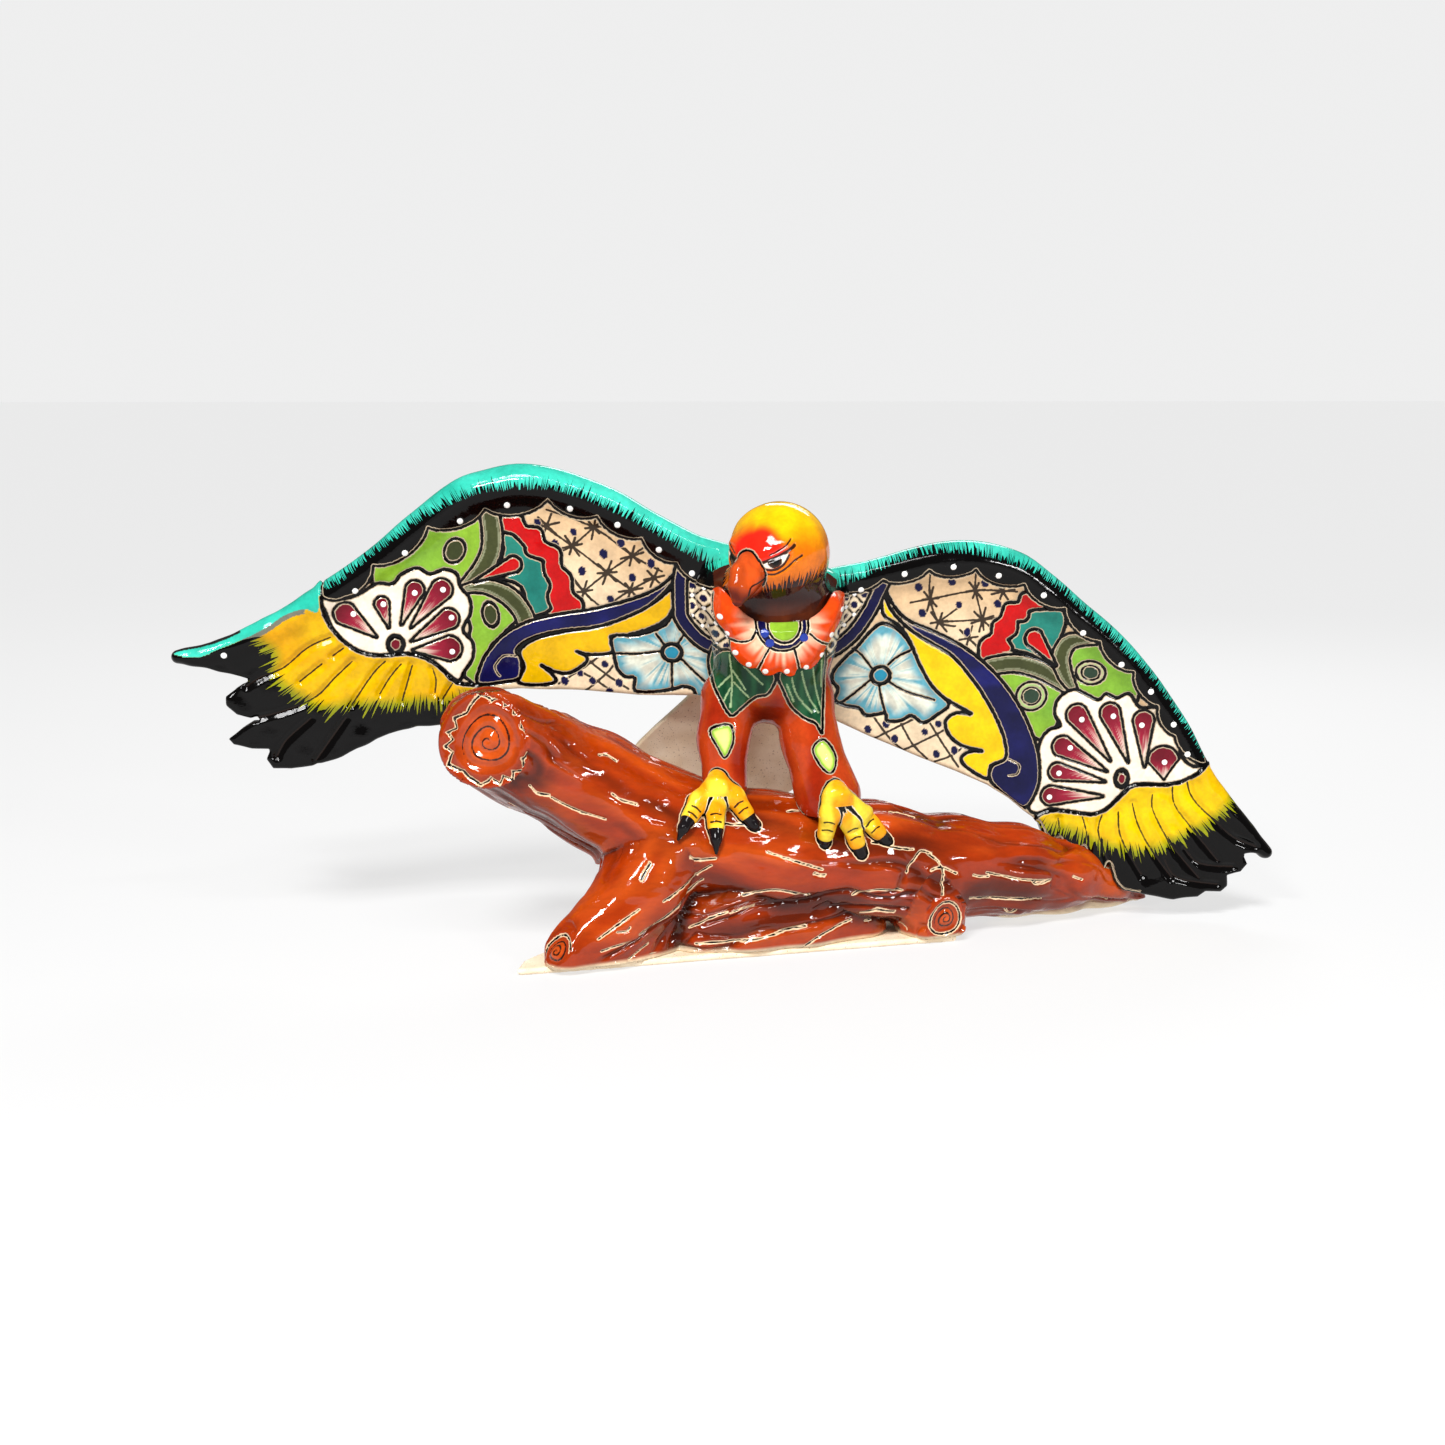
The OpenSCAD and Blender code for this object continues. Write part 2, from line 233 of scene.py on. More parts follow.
def skull_field(p):
    """A round skull that runs out towards the beak, with a ridge over each eye."""
    x, y, z = SKULL
    d = rope(p, [(x, y, z, SKULL_R), (x + 2, y + 5, z + 1, SKULL_R - 0.5)], 8)
    d = smooth_min(d, capsule(p, (x, y, z, 27), (x - 5, y - 10, z - 4, 21)), 12)
    for side in (1, -1):
        brow = [head_point(side * 5, 7, 26, 3.4), head_point(side * 17, 12, 18.5, 3.4)]
        d = smooth_min(d, rope(p, brow, 3), 5)
    return d


def head_and_neck_field(p):
    """The skull runs into the neck, and the neck into the shoulders, with no ledge."""
    beyond_neck = np.hypot(p[:, 0] - BIRD_X, p[:, 1] + 22) - 40
    chest = np.maximum(torso_field(p) + 0.8, beyond_neck)
    d = smooth_min(smooth_min(skull_field(p), rope(p, NECK, 8), 9), chest, 13)
    return smooth_max(d, NECK_LOW - p[:, 2], 1)


# The head looks to the left, forwards and down: its own axes are ahead, aside (to its left) and up
HEAD_TURN, HEAD_NOD = math.radians(-36), math.radians(-16)
HEAD_AHEAD = vec(math.sin(HEAD_TURN) * math.cos(HEAD_NOD), -math.cos(HEAD_TURN) * math.cos(HEAD_NOD),
                 math.sin(HEAD_NOD))
HEAD_ASIDE = np.cross(vec(0, 0, 1), HEAD_AHEAD)
HEAD_ASIDE /= np.linalg.norm(HEAD_ASIDE)
HEAD_UP = np.cross(HEAD_AHEAD, HEAD_ASIDE)


def head_point(aside, up, ahead, r):
    at = vec(*SKULL) + HEAD_ASIDE * aside + HEAD_UP * up + HEAD_AHEAD * ahead
    return (*at, r)


# ---------------------------------------------------------------- from a field to a mesh


def surface_net(f, lo, step):
    """A closed quad mesh of the field's zero surface: one vertex in each mixed cell."""
    shape = np.array(f.shape) - 1
    corners = list(product((0, 1), repeat=3))
    cut = [f[i:i + shape[0], j:j + shape[1], k:k + shape[2]] for i, j, k in corners]
    inside = sum((c < 0).astype(np.int8) for c in cut)
    mixed = (inside > 0) & (inside < 8)
    where = np.argwhere(mixed)
    values = [c[mixed] for c in cut]
    total, count = np.zeros((len(where), 3)), np.zeros(len(where))
    for a, b in product(range(8), repeat=2):
        gap = np.subtract(corners[b], corners[a])
        if a < b and abs(gap).sum() == 1:
            crosses = (values[a] < 0) != (values[b] < 0)
            t = np.where(crosses, values[a] / np.where(crosses, values[a] - values[b], 1), 0)
            total += crosses[:, None] * (np.array(corners[a]) + t[:, None] * gap)
            count += crosses
    verts = (where + total / count[:, None]) * step + lo
    index = np.full(mixed.shape, -1)
    index[mixed] = np.arange(len(where))
    quads = []
    for axis in range(3):
        first = np.moveaxis(f, axis, 0)
        crosses = (first[:-1] < 0) != (first[1:] < 0)
        out = first[:-1] < 0
        cells = np.moveaxis(index, axis, 0)
        crosses, out = crosses[:, 1:-1, 1:-1], out[:, 1:-1, 1:-1]
        at = np.argwhere(crosses)
        i, j, k = at[:, 0], at[:, 1], at[:, 2]
        ring = np.stack([cells[i, j, k], cells[i, j + 1, k], cells[i, j + 1, k + 1], cells[i, j, k + 1]], 1)
        flip = out[crosses] == (axis == 1)
        ring[flip] = ring[flip][:, ::-1]
        quads.append(ring)
    return verts, np.concatenate(quads)


def new_mesh(name, verts, quads):
    """A mesh from arrays of vertices and quads."""
    mesh = bpy.data.meshes.new(name)
    mesh.vertices.add(len(verts))
    mesh.vertices.foreach_set("co", np.ascontiguousarray(verts, np.float32).ravel())
    mesh.loops.add(len(quads) * 4)
    mesh.loops.foreach_set("vertex_index", np.ascontiguousarray(quads, np.int32).ravel())
    mesh.polygons.add(len(quads))
    mesh.polygons.foreach_set("loop_start", np.arange(len(quads), dtype=np.int32) * 4)
    mesh.update(calc_edges=True)
    mesh.validate()
    return mesh


def new_object(name, data):
    """A new object in the scene's own collection."""
    obj = bpy.data.objects.new(name, data)
    bpy.context.scene.collection.objects.link(obj)
    return obj


def vectors(source, key, count):
    """Blender's flat list of vectors as rows of three."""
    flat = np.empty(count * 3, np.float32)
    source.foreach_get(key, flat)
    return flat.reshape(-1, 3).astype(float)


def vertices_of(mesh):
    return vectors(mesh.vertices, "co", len(mesh.vertices))


def move_vertices(mesh, p):
    mesh.vertices.foreach_set("co", p.astype(np.float32).ravel())
    mesh.update()


def normals_of(mesh):
    return vectors(mesh.vertex_normals, "vector", len(mesh.vertices))


def gradient(field, p, h=0.4):
    """The field's slope at each point, from its values h mm to either side."""
    out = np.empty_like(p)
    for i in range(3):
        d = np.zeros(3)
        d[i] = h
        out[:, i] = (field(p + d) - field(p - d)) / (2 * h)
    return out


def in_blocks(field, p, block=400_000):
    """The field at many points, a block at a time to save memory."""
    return np.concatenate([field(p[i:i + block]) for i in range(0, len(p), block)])


def subdivided(mesh):
    """One pass of subdivision, baked in."""
    holder = new_object("holder", mesh)
    holder.modifiers.new("smooth", "SUBSURF").levels = 1
    bpy.context.view_layer.update()
    result = bpy.data.meshes.new_from_object(holder.evaluated_get(bpy.context.evaluated_depsgraph_get()))
    bpy.data.objects.remove(holder)
    bpy.data.meshes.remove(mesh)
    return result


def sampled(field, axes, step, skip=4):
    """The field on a grid: every few points first, then each point that lies near the surface."""
    rough_axes = [a[0] + step * ((skip - 1) / 2 + skip * np.arange(math.ceil(len(a) / skip))) for a in axes]
    rough = np.stack(np.meshgrid(*rough_axes, indexing="ij"), -1).reshape(-1, 3)
    f = in_blocks(field, rough).reshape([len(a) for a in rough_axes])
    for axis, a in enumerate(axes):
        f = np.take(f, np.arange(len(a)) // skip, axis)
    near = np.nonzero(np.abs(f) < step * (skip + 2))
    f[near] = in_blocks(field, np.column_stack([a[i] for a, i in zip(axes, near)]))
    return f


def solid(name, field, lo, hi, step):
    """Meshes a field in a box, refines it once and settles it on the field."""
    axes = [np.arange(lo[i] - 2 * step, hi[i] + 3 * step, step) for i in range(3)]
    verts, quads = surface_net(sampled(field, axes, step), np.array([a[0] for a in axes]), step)
    mesh = subdivided(new_mesh(name, verts, quads))
    p = vertices_of(mesh)
    for _ in range(2):
        g = gradient(field, p)
        size = np.maximum((g * g).sum(1), 0.3)
        p -= g * np.clip(field(p) / size, -step, step)[:, None]
    move_vertices(mesh, p)
    return mesh


def painted(mesh, paint):
    """Paints a mesh, moves its points by the paint's relief, and gives points, normals and the paint."""
    p, normals = vertices_of(mesh), normals_of(mesh)
    layers = paint(p, normals)
    p = p + normals * layers.pop("lift")[:, None]
    move_vertices(mesh, p)
    return p, normals_of(mesh), layers


def hand_over(name, mesh, layers, material, slot, nodes):
    """Gives a mesh its paint and material, and hands it to the frame as what shows for some nodes."""
    for key, values in layers.items():
        if key == "Col":
            rgba = np.ones((len(values), 4), np.float32)
            rgba[:, :3] = values
            mesh.attributes.new("Col", "FLOAT_COLOR", "POINT").data.foreach_set("color", rgba.ravel())
        else:
            mesh.attributes.new(key, "FLOAT", "POINT").data.foreach_set("value", values.astype(np.float32))
    mesh.shade_smooth()
    move_vertices(mesh, vertices_of(mesh) * MM)
    mesh.materials.clear()
    mesh.materials.append(material)
    obj = new_object(name, mesh)
    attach(obj, "root")
    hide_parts(*nodes)


def piece(name, mesh, material, slot, nodes, paint=None):
    """One closed mesh as one piece."""
    layers = painted(mesh, paint)[2] if paint else {}
    hand_over(name, mesh, layers, material, slot, nodes)


def shell(p, normals, quads, wall):
    """Closes a patch of skin into a thin-walled piece: the skin, its back set in by the wall, and a rim."""
    sides = np.concatenate([quads[:, [i, (i + 1) % 4]] for i in range(4)]).astype(np.int64)
    key = sides.min(1) * len(p) + sides.max(1)
    first, count = np.unique(key, return_index=True, return_counts=True)[1:]
    rim = sides[first[count == 1]]
    n = len(p)
    edge = np.column_stack([rim[:, 1], rim[:, 0], rim[:, 0] + n, rim[:, 1] + n])
    return np.concatenate([p, p - normals * wall]), np.concatenate([quads, quads[:, ::-1] + n, edge])


def pieces(mesh, paint, share, parts, wall):
    """Paints one continuous skin and shares it out between the pieces that meet in it.

    share gives each point of the skin the number of its part; parts are (node, material, slot).
    """
    p, normals, layers = painted(mesh, paint)
    quads = np.empty(len(mesh.loops), np.int32)
    mesh.loops.foreach_get("vertex_index", quads)
    quads = quads.reshape(-1, 4)
    owner = share(p[quads].mean(1))
    for which, (node_name, material, slot) in enumerate(parts):
        name = node_name + "_skin"
        used, index = np.unique(quads[owner == which], return_inverse=True)
        verts, faces = shell(p[used], normals[used], index.reshape(-1, 4), wall)
        part = new_mesh(name, verts, faces)
        part.shade_smooth()
        own = {key: np.concatenate([values[used], values[used]]) for key, values in layers.items()}
        hand_over(name, part, own, material, slot, [node_name])
        part.normals_split_custom_set_from_vertices(np.concatenate([normals[used], -normals[used]]))
    bpy.data.meshes.remove(mesh)


# ---------------------------------------------------------------- drawing on a flat sheet


def linear(r, g, b):
    """A colour given as 0 to 255 on screen, as the linear light that shaders use."""
    c = np.array([r, g, b]) / 255
    return np.where(c <= 0.04045, c / 12.92, ((c + 0.055) / 1.055) ** 2.4)


TEAL = linear(46, 196, 166)
NIGHT = linear(5, 4, 4)
CREAM = linear(236, 216, 184)
TAN = linear(205, 172, 132)
NAVY = linear(12, 12, 56)
YELLOW = linear(216, 168, 3)
GREEN = linear(132, 172, 44)
OLIVE = linear(62, 66, 36)
FAN_GREEN = linear(20, 108, 98)
RED = linear(182, 12, 14)
MAROON = linear(104, 12, 30)
PALE = linear(240, 224, 205)
SKY = linear(44, 142, 164)
FLOWER = linear(222, 226, 208)
FLOWER_EYE = linear(34, 128, 156)
ORANGE = linear(238, 96, 30)
BARK = linear(154, 46, 3)
BARK_DARK = linear(56, 14, 3)
BARK_LIGHT = linear(190, 74, 16)
CLAY = linear(222, 200, 166)
CUT_CLAY = linear(238, 206, 166)
BODY_RED = linear(178, 60, 20)
NECK_BROWN = linear(44, 14, 9)
NECK_LIGHT = linear(84, 36, 16)


class Sheet:
    """Painting in the plane of a surface, in mm: u runs right and v up."""

    def __init__(self, u, v, ground):
        self.u, self.v = u, v
        n = len(u)
        self.col = np.tile(np.asarray(ground, float), (n, 1))
        self.ink = np.full(n, FAR)
        self.dot = np.full(n, FAR)
        self.pen = np.full(n, FAR)
        self.dark = np.full(n, NO_HATCH)
        self.run = np.zeros(n)

    def near(self, points, margin):
        """Which points lie in the box round some others, widened by the margin."""
        lo, hi = np.min(points, 0) - margin, np.max(points, 0) + margin
        return np.flatnonzero((self.u > lo[0]) & (self.u < hi[0]) & (self.v > lo[1]) & (self.v < hi[1]))

    def line(self, points, closed=False, margin=12.0):
        """Distance to a line through points; with closed, negative inside."""
        pts = np.asarray(points, float)
        at = self.near(pts, margin)
        u, v = self.u[at], self.v[at]
        best = np.full(len(at), 1e6)
        inside = np.zeros(len(at), bool)
        ends = np.roll(pts, -1, 0) if closed else pts[1:]
        for a, b in zip(pts, ends):
            du, dv = b - a
            length = du * du + dv * dv
            if length < 1e-9:
                continue
            t = np.clip(((u - a[0]) * du + (v - a[1]) * dv) / length, 0, 1)
            best = np.minimum(best, (u - a[0] - t * du)**2 + (v - a[1] - t * dv)**2)
            if closed:
                over = (a[1] > v) != (b[1] > v)
                inside ^= over & (u < a[0] + (v - a[1]) * du / (dv if dv else 1e-9))
        out = np.full(len(self.u), OUTSIDE)
        out[at] = np.sqrt(best) * np.where(inside, -1, 1)
        return out

    def curve(self, points, steps=5):
        return self.line(spline(points, steps))

    def blob(self, points, steps=5):
        """Signed distance to a smooth closed outline."""
        return self.line(spline(points, steps, closed=True), closed=True)

    def drop(self, a, b, ra, rb):
        """Signed distance to a teardrop from a to b."""
        out = np.full(len(self.u), OUTSIDE)
        at = self.near([a, b], max(ra, rb) + 12)
        p = np.stack([self.u[at], self.v[at]], 1)
        run = np.subtract(b, a).astype(float)
        t = np.clip((p - a) @ run / (run @ run), 0, 1)
        out[at] = np.linalg.norm(p - a - t[:, None] * run, axis=1) - (ra + t * (rb - ra))
        return out

    def disc(self, c, r, ry=None, turn=0.0):
        """Signed distance to a disc, or with ry to an oval turned by some degrees."""
        du, dv = self.u - c[0], self.v - c[1]
        if ry is None:
            return np.hypot(du, dv) - r
        s, k = math.sin(math.radians(turn)), math.cos(math.radians(turn))
        a, b = du * k + dv * s, -du * s + dv * k
        return (np.hypot(a / r, b / ry) - 1) * min(r, ry)

    def band(self, knots):
        """Signed distance to a brush stroke through (u, v, half width) knots."""
        pts = spline(knots, 4)
        d = np.full(len(self.u), OUTSIDE)
        for a, b in zip(pts, pts[1:]):
            if np.hypot(*(b - a)[:2]) > 1e-6:
                d = np.minimum(d, self.drop(a[:2], b[:2], a[2], b[2]))
        return d

    def fill(self, s, colour, half=1.1):
        """Lays colour inside a shape, hides what was drawn there, and outlines it with a brush."""
        inside = s < 0
        self.col[inside] = colour if np.ndim(colour) == 1 else colour[inside]
        for layer in (self.ink, self.dot, self.pen):
            layer[inside] = FAR
        self.dark[inside] = NO_HATCH
        if half:
            self.ink = np.minimum(self.ink, np.abs(s) - half)

    def stroke(self, d, half=0.7):
        """A brushed outline."""
        self.ink = np.minimum(self.ink, d - half)

    def scratch(self, d, half=0.5):
        """A thin dark line with no pale edge."""
        self.pen = np.minimum(self.pen, d - half)

    def white_dots(self, centres, r=2.2):
        for c in centres:
            self.dot = np.minimum(self.dot, self.disc(c, r))

    def spots(self, centres, r, colour):
        for c in centres:
            wobble = r * (0.85 + 0.3 * rng.random())
            self.fill(self.disc(c, wobble, wobble * 1.2, 40 * rng.random()), colour, half=0)

    def layers(self, lift=0.0):
        """What a piece takes over from the sheet; lift moves its points outwards, in mm."""
        return {"Col": self.col, "ink": np.clip(self.ink, -2, FAR), "dot": np.clip(self.dot, -3, FAR),
                "pen": np.clip(self.pen, -2, FAR), "dark": self.dark, "run": self.run,
                "lift": lift + np.zeros(len(self.u))}


# ---------------------------------------------------------------- glazes


def node(nt, kind, inputs=None, **settings):
    """A shader node with its sockets linked or set."""
    n = nt.nodes.new("ShaderNode" + kind)
    for key, value in settings.items():
        setattr(n, key, value)
    for key, value in (inputs or {}).items():
        if isinstance(value, bpy.types.NodeSocket):
            nt.links.new(value, n.inputs[key])
        else:
            n.inputs[key].default_value = value
    return n


def number(nt, name):
    """One of the painted layers, read from the mesh."""
    return node(nt, "Attribute", attribute_name=name).outputs["Fac"]


def ramp(nt, value, lo, hi, out_lo=0.0, out_hi=1.0):
    """A value taken smoothly from one range to another."""
    return node(nt, "MapRange", {0: value, 1: lo, 2: hi, 3: out_lo, 4: out_hi},
                interpolation_type="SMOOTHSTEP").outputs[0]


def blend(nt, factor, a, b, how="MIX"):
    """Two colours, each a socket or three numbers, mixed or multiplied."""
    n = node(nt, "Mix", data_type="RGBA", blend_type=how)
    for socket, value in ((n.inputs[0], factor), (n.inputs[6], a), (n.inputs[7], b)):
        if isinstance(value, bpy.types.NodeSocket):
            nt.links.new(value, socket)
        else:
            socket.default_value = (*value, 1) if np.ndim(value) == 1 else value
    return n.outputs[2]


def sums(nt, how, a, b):
    return node(nt, "Math", {0: a, 1: b}, operation=how).outputs[0]


def lumps(nt, scale, detail=2.0, stretch=(1, 1, 1)):
    """Noise fixed to the object, scale in lumps per metre."""
    where = node(nt, "TexCoord").outputs["Object"]
    if stretch != (1, 1, 1):
        where = node(nt, "Mapping", {"Vector": where, "Scale": stretch}).outputs[0]
    return node(nt, "TexNoise", {"Vector": where, "Scale": scale, "Detail": detail}).outputs["Fac"]


def noise_along(nt, run, size, detail):
    """Noise along one line, in lumps of the given size."""
    return node(nt, "TexNoise", {"W": sums(nt, "DIVIDE", run, size), "Scale": 1.0, "Detail": detail},
                noise_dimensions="1D").outputs["Fac"]


def bumps(nt, *layers):
    """A normal from layers of (strength, depth in metres, height), each laid over the one before."""
    normal = None
    for strength, depth, height in layers:
        inputs = {"Strength": strength, "Distance": depth, "Height": height}
        if normal is not None:
            inputs["Normal"] = normal
        normal = node(nt, "Bump", inputs).outputs[0]
    return normal


def new_material(name, build):
    """A material with the surface shader that build makes."""
    m = bpy.data.materials.new(name)
    m.use_nodes = True
    nt = m.node_tree
    nt.nodes.clear()
    shader = build(nt)
    nt.links.new(shader.outputs[0], node(nt, "OutputMaterial").inputs[0])
    return m


def pooled_colour(nt, fine, streak):
    """The painted colour, darker and lighter where the glaze pools and thins."""
    colour = node(nt, "Attribute", attribute_name="Col").outputs["Color"]
    broad = lumps(nt, 90, 3, streak)
    for shade in (ramp(nt, broad, 0.25, 0.75, 0.84, 1.1), ramp(nt, fine, 0.2, 0.8, 0.9, 1.06)):
        grey = node(nt, "CombineColor", {0: shade, 1: shade, 2: shade}).outputs[0]
        colour = blend(nt, 1.0, colour, grey, "MULTIPLY")
    return colour


def brush_strokes(nt, reach, stroke):
    """Where the hatching covers: strokes side by side, pointed at their ends, of uneven length."""
    run = number(nt, "run")
    sway = noise_along(nt, run, 5.0, 2.0)
    place = sums(nt, "ADD", sums(nt, "DIVIDE", run, stroke), sums(nt, "MULTIPLY", sway, 4.0))
    tooth = sums(nt, "SUBTRACT", sums(nt, "MULTIPLY", sums(nt, "PINGPONG", place, 0.5), 4.0), 1.0)
    length = ramp(nt, noise_along(nt, run, stroke * 1.3, 0.0), 0.25, 0.75, 0.25 * reach, 1.5 * reach)
    return ramp(nt, sums(nt, "ADD", number(nt, "dark"), sums(nt, "MULTIPLY", tooth, length)), -0.3, 0.3)


def drawn_over(nt, colour, fine, edge):
    """Thin scratched lines, brushed outlines between pale edges, and white dots, laid over a colour."""
    wobble = sums(nt, "MULTIPLY", sums(nt, "SUBTRACT", fine, 0.5), 1.2)
    ink = sums(nt, "ADD", number(nt, "ink"), wobble)
    pen = sums(nt, "ADD", number(nt, "pen"), sums(nt, "MULTIPLY", wobble, 0.6))
    colour = blend(nt, ramp(nt, pen, 0.0, 0.4, 0.96, 0), colour, linear(26, 16, 12))
    colour = blend(nt, ramp(nt, ink, 0.35, 0.8, 1, 0), colour, edge)
    colour = blend(nt, ramp(nt, ink, -0.1, 0.3, 1, 0), colour, NIGHT)
    return blend(nt, ramp(nt, number(nt, "dot"), -0.2, 0.2, 1, 0), colour, linear(250, 248, 244))


def glaze(name, hatch=NIGHT, edge=linear(182, 164, 138), reach=5.0, stroke=1.7, gloss=0.05,
          streak=(1, 1, 1), ripple=0.2, shine=0.24):
    """Painted colours under a thick clear glaze, with pooling, brushwork and a rippled shine.

    reach and stroke are the hatching's length and width in mm, and streak stretches the mottling.
    """
    def build(nt):
        fine = lumps(nt, 420, 2, streak)
        colour = blend(nt, brush_strokes(nt, reach, stroke), pooled_colour(nt, fine, streak), hatch)
        normal = bumps(nt, (ripple, 0.0016, lumps(nt, 70, 2, streak)), (0.14, 0.0004, lumps(nt, 500, 1)))
        return node(nt, "BsdfPrincipled", {
            "Base Color": drawn_over(nt, colour, fine, edge), "IOR": 1.45, "Specular IOR Level": shine,
            "Roughness": ramp(nt, lumps(nt, 160, 3), 0.3, 0.8, gloss, gloss + 0.09), "Normal": normal})
    return new_material(name, build)


def bare_clay(nt):
    """Unglazed fired clay: matt, slightly mottled, with scraped marks and grog."""
    colour = blend(nt, ramp(nt, lumps(nt, 60, 4), 0.3, 0.7), linear(252, 234, 206), linear(236, 212, 178))
    colour = blend(nt, ramp(nt, lumps(nt, 900, 2), 0.62, 0.74), colour, linear(168, 138, 106))
    normal = bumps(nt, (0.35, 0.0008, lumps(nt, 160, 3, (1, 1, 0.25))), (0.3, 0.0003, lumps(nt, 1500, 2)))
    rough = ramp(nt, lumps(nt, 200, 2), 0.3, 0.7, 0.62, 0.85)
    return node(nt, "BsdfPrincipled", {"Base Color": colour, "Roughness": rough, "Normal": normal})


PAINTED = glaze("painted_glaze")
TEAL_GLAZE = glaze("teal_glaze", reach=4.6, stroke=1.6)
FEATHER_GLAZE = glaze("feather_glaze", reach=5.5, stroke=2.2)
BARK_GLAZE = glaze("bark_glaze", edge=CUT_CLAY, gloss=0.03, streak=(0.35, 1, 1), ripple=1.0, shine=0.5)
SAWN_GLAZE = glaze("sawn_glaze", hatch=linear(90, 26, 10), edge=CUT_CLAY, ripple=0.6, shine=0.5)
HEAD_GLAZE = glaze("head_glaze", hatch=NECK_BROWN, reach=4.2, stroke=1.9, shine=0.4)
NECK_GLAZE = glaze("neck_glaze", hatch=NECK_BROWN, streak=(1, 1, 0.3), shine=0.4)
BEAK_GLAZE = glaze("beak_glaze", gloss=0.04, streak=(1, 1, 0.35), ripple=0.3)
COLLAR_GLAZE = glaze("collar_glaze", edge=linear(228, 206, 176))
FOOT_GLAZE = glaze("foot_glaze", edge=linear(236, 218, 188))
CLAW_GLAZE = glaze("claw_glaze", gloss=0.03)
BARE = new_material("bare_clay", bare_clay)

# ---------------------------------------------------------------- the log

def grain_place(p, balls):
    """Straightened place along a branch: distance along it, then the offset from its curved middle line."""
    b = np.asarray(balls, float)
    ends = b[-1, :3] - b[0, :3]
    length = np.linalg.norm(ends)
    along = (p - b[0, :3]) @ ends / length
    stations = (b[:, :3] - b[0, :3]) @ ends / length
    middle = np.column_stack([np.interp(along, stations, b[:, i]) for i in range(3)])
    return along, p - middle


def wood(p):
    """Which branch each point is on (0 is the log), its straightened place, and its distance to each."""
    d = np.array([rope(p, LOG, 10)] + [root(p, balls) for balls in ROOTS])
    label = np.argmin(d, axis=0)
    along, across = np.zeros(len(p)), np.zeros((len(p), 3))
    for i, balls in enumerate([LOG, *ROOTS]):
        on = label == i
        a, off = grain_place(p[on], balls)
        along[on] = a + BRANCH_GAP * i
        across[on] = off
    return label, along, across, d


def sawn_faces(p):
    """Masks of the three cut ends: the raised stub, the left root and the right root."""
    x, z = p[:, 0], p[:, 2]
    return ((half_space(p, *STUB_FACE) > -1.6) & (x < -120) & (z > 90),
            (half_space(p, *LEFT_ROOT_FACE) > -1.2) & (x < -110) & (z < 40),
            (half_space(p, *RIGHT_ROOT_FACE) > -1.2) & (np.linalg.norm(p - RIGHT_ROOT_FACE[0], axis=1) < 15))


def tool_marks(along, turn):
    """Distance to short strokes cut along the grain, scattered over every branch."""
    flat = Sheet(along, turn, BARK)
    d = np.full(len(along), FAR)
    for branch, count, length in ((0, 46, 460), (2, 9, 110), (3, 2, 40), (4, 3, 40)):
        for _ in range(count):
            start = rng.uniform(0, length) + BRANCH_GAP * branch
            at = rng.uniform(-90, 90)
            size = rng.uniform(7, 24)
            bow = rng.uniform(-3, 3)
            points = [(start, at), (start + size * 0.4, at + bow), (start + size, at + rng.uniform(-2, 2))]
            d = np.minimum(d, flat.curve(points, 4))
    return d


def rings(p, on, face, reach, points):
    """Growth rings on a cut end, inside a zigzag outline or, with no points, a plain oval one."""
    normal = vec(*face[1])
    normal /= np.linalg.norm(normal)
    right = np.cross(normal, (0, 0, 1))
    right /= np.linalg.norm(right)
    at = p[on] - vec(*face[0])
    flat = Sheet(at @ right, at @ np.cross(right, normal), BARK_LIGHT)
    angle = np.arctan2(flat.v, flat.u)
    turn = angle / (2 * math.pi)
    away = np.hypot(flat.u * 0.92, flat.v) * (1 + 0.06 * np.sin(2 * angle + 1) + 0.05 * np.sin(3 * angle))
    light = step_between(reach, reach * 0.4, away + 5 * noise(p[on], (9, 9, 9)))
    flat.col = tint(BARK, BARK_LIGHT, light)
    if points:
        tooth = np.abs(((turn * points + 0.4 * np.sin(3 * angle)) % 1) - 0.5) * 2
        flat.stroke(np.abs(away - reach + 4.6 * tooth) * 0.75, 0.5)
    else:
        flat.stroke(np.abs(away - reach * 0.85), 0.5)
    # The rings wind inwards as one spiral
    gap = reach * 0.24
    spiral = ((away / gap + turn) % 1 - 0.5) * gap
    flat.scratch(np.where(away < reach * 0.62, np.abs(spiral), FAR), 0.35)
    return flat, away


def bark_colour(grain, ribs, fine, crease, d, n):
    """Orange-brown, darker where the glaze pools in the creases and hollows and lighter on the ribs where it
    thins, with painted shade underneath, where branches meet and in the gap behind the front root.
    """
    tone = noise(grain + 17, (60, 10, 10))
    others = np.delete(d, FRONT_ROOT, 0)
    # Painted shadow in the gap behind the front root, and painted shade where any two branches meet
    painted_shadow_behind_root = step_between(11, 0, np.abs(d[FRONT_ROOT] - others.min(0)))
    painted_joint_shade = step_between(9, 0, np.subtract(*np.sort(d, axis=0)[1::-1]))
    hollow = step_between(0.56, 0.22, 0.5 * ribs + 0.5 * tone)
    # Painted shade on the surfaces that face downwards
    below = step_between(0.0, -0.8, n[:, 2])
    # Glaze pooling in the hollows and creases, together with the painted shade
    pooling_and_painted_shade = np.maximum.reduce([0.8 * hollow, 0.85 * crease, 0.95 * painted_shadow_behind_root, 0.4 * painted_joint_shade, 0.55 * below])
    light = step_between(0.5, 0.85, fine * 0.4 + ribs * 0.6)
    return tint(tint(BARK, BARK_DARK, pooling_and_painted_shade), BARK_LIGHT, 0.8 * light)


def creases(grain, ribs):
    """Where the bark is creased: along some of the lines between the ribs."""
    second = noise(grain + 63, (60, 9, 9))
    crease = np.maximum(step_between(0.10, 0.0, np.abs(ribs - 0.5)),
                        0.8 * step_between(0.08, 0, np.abs(second - 0.5)))
    return crease * step_between(0.35, 0.55, noise(grain + 40, (50, 30, 30)))


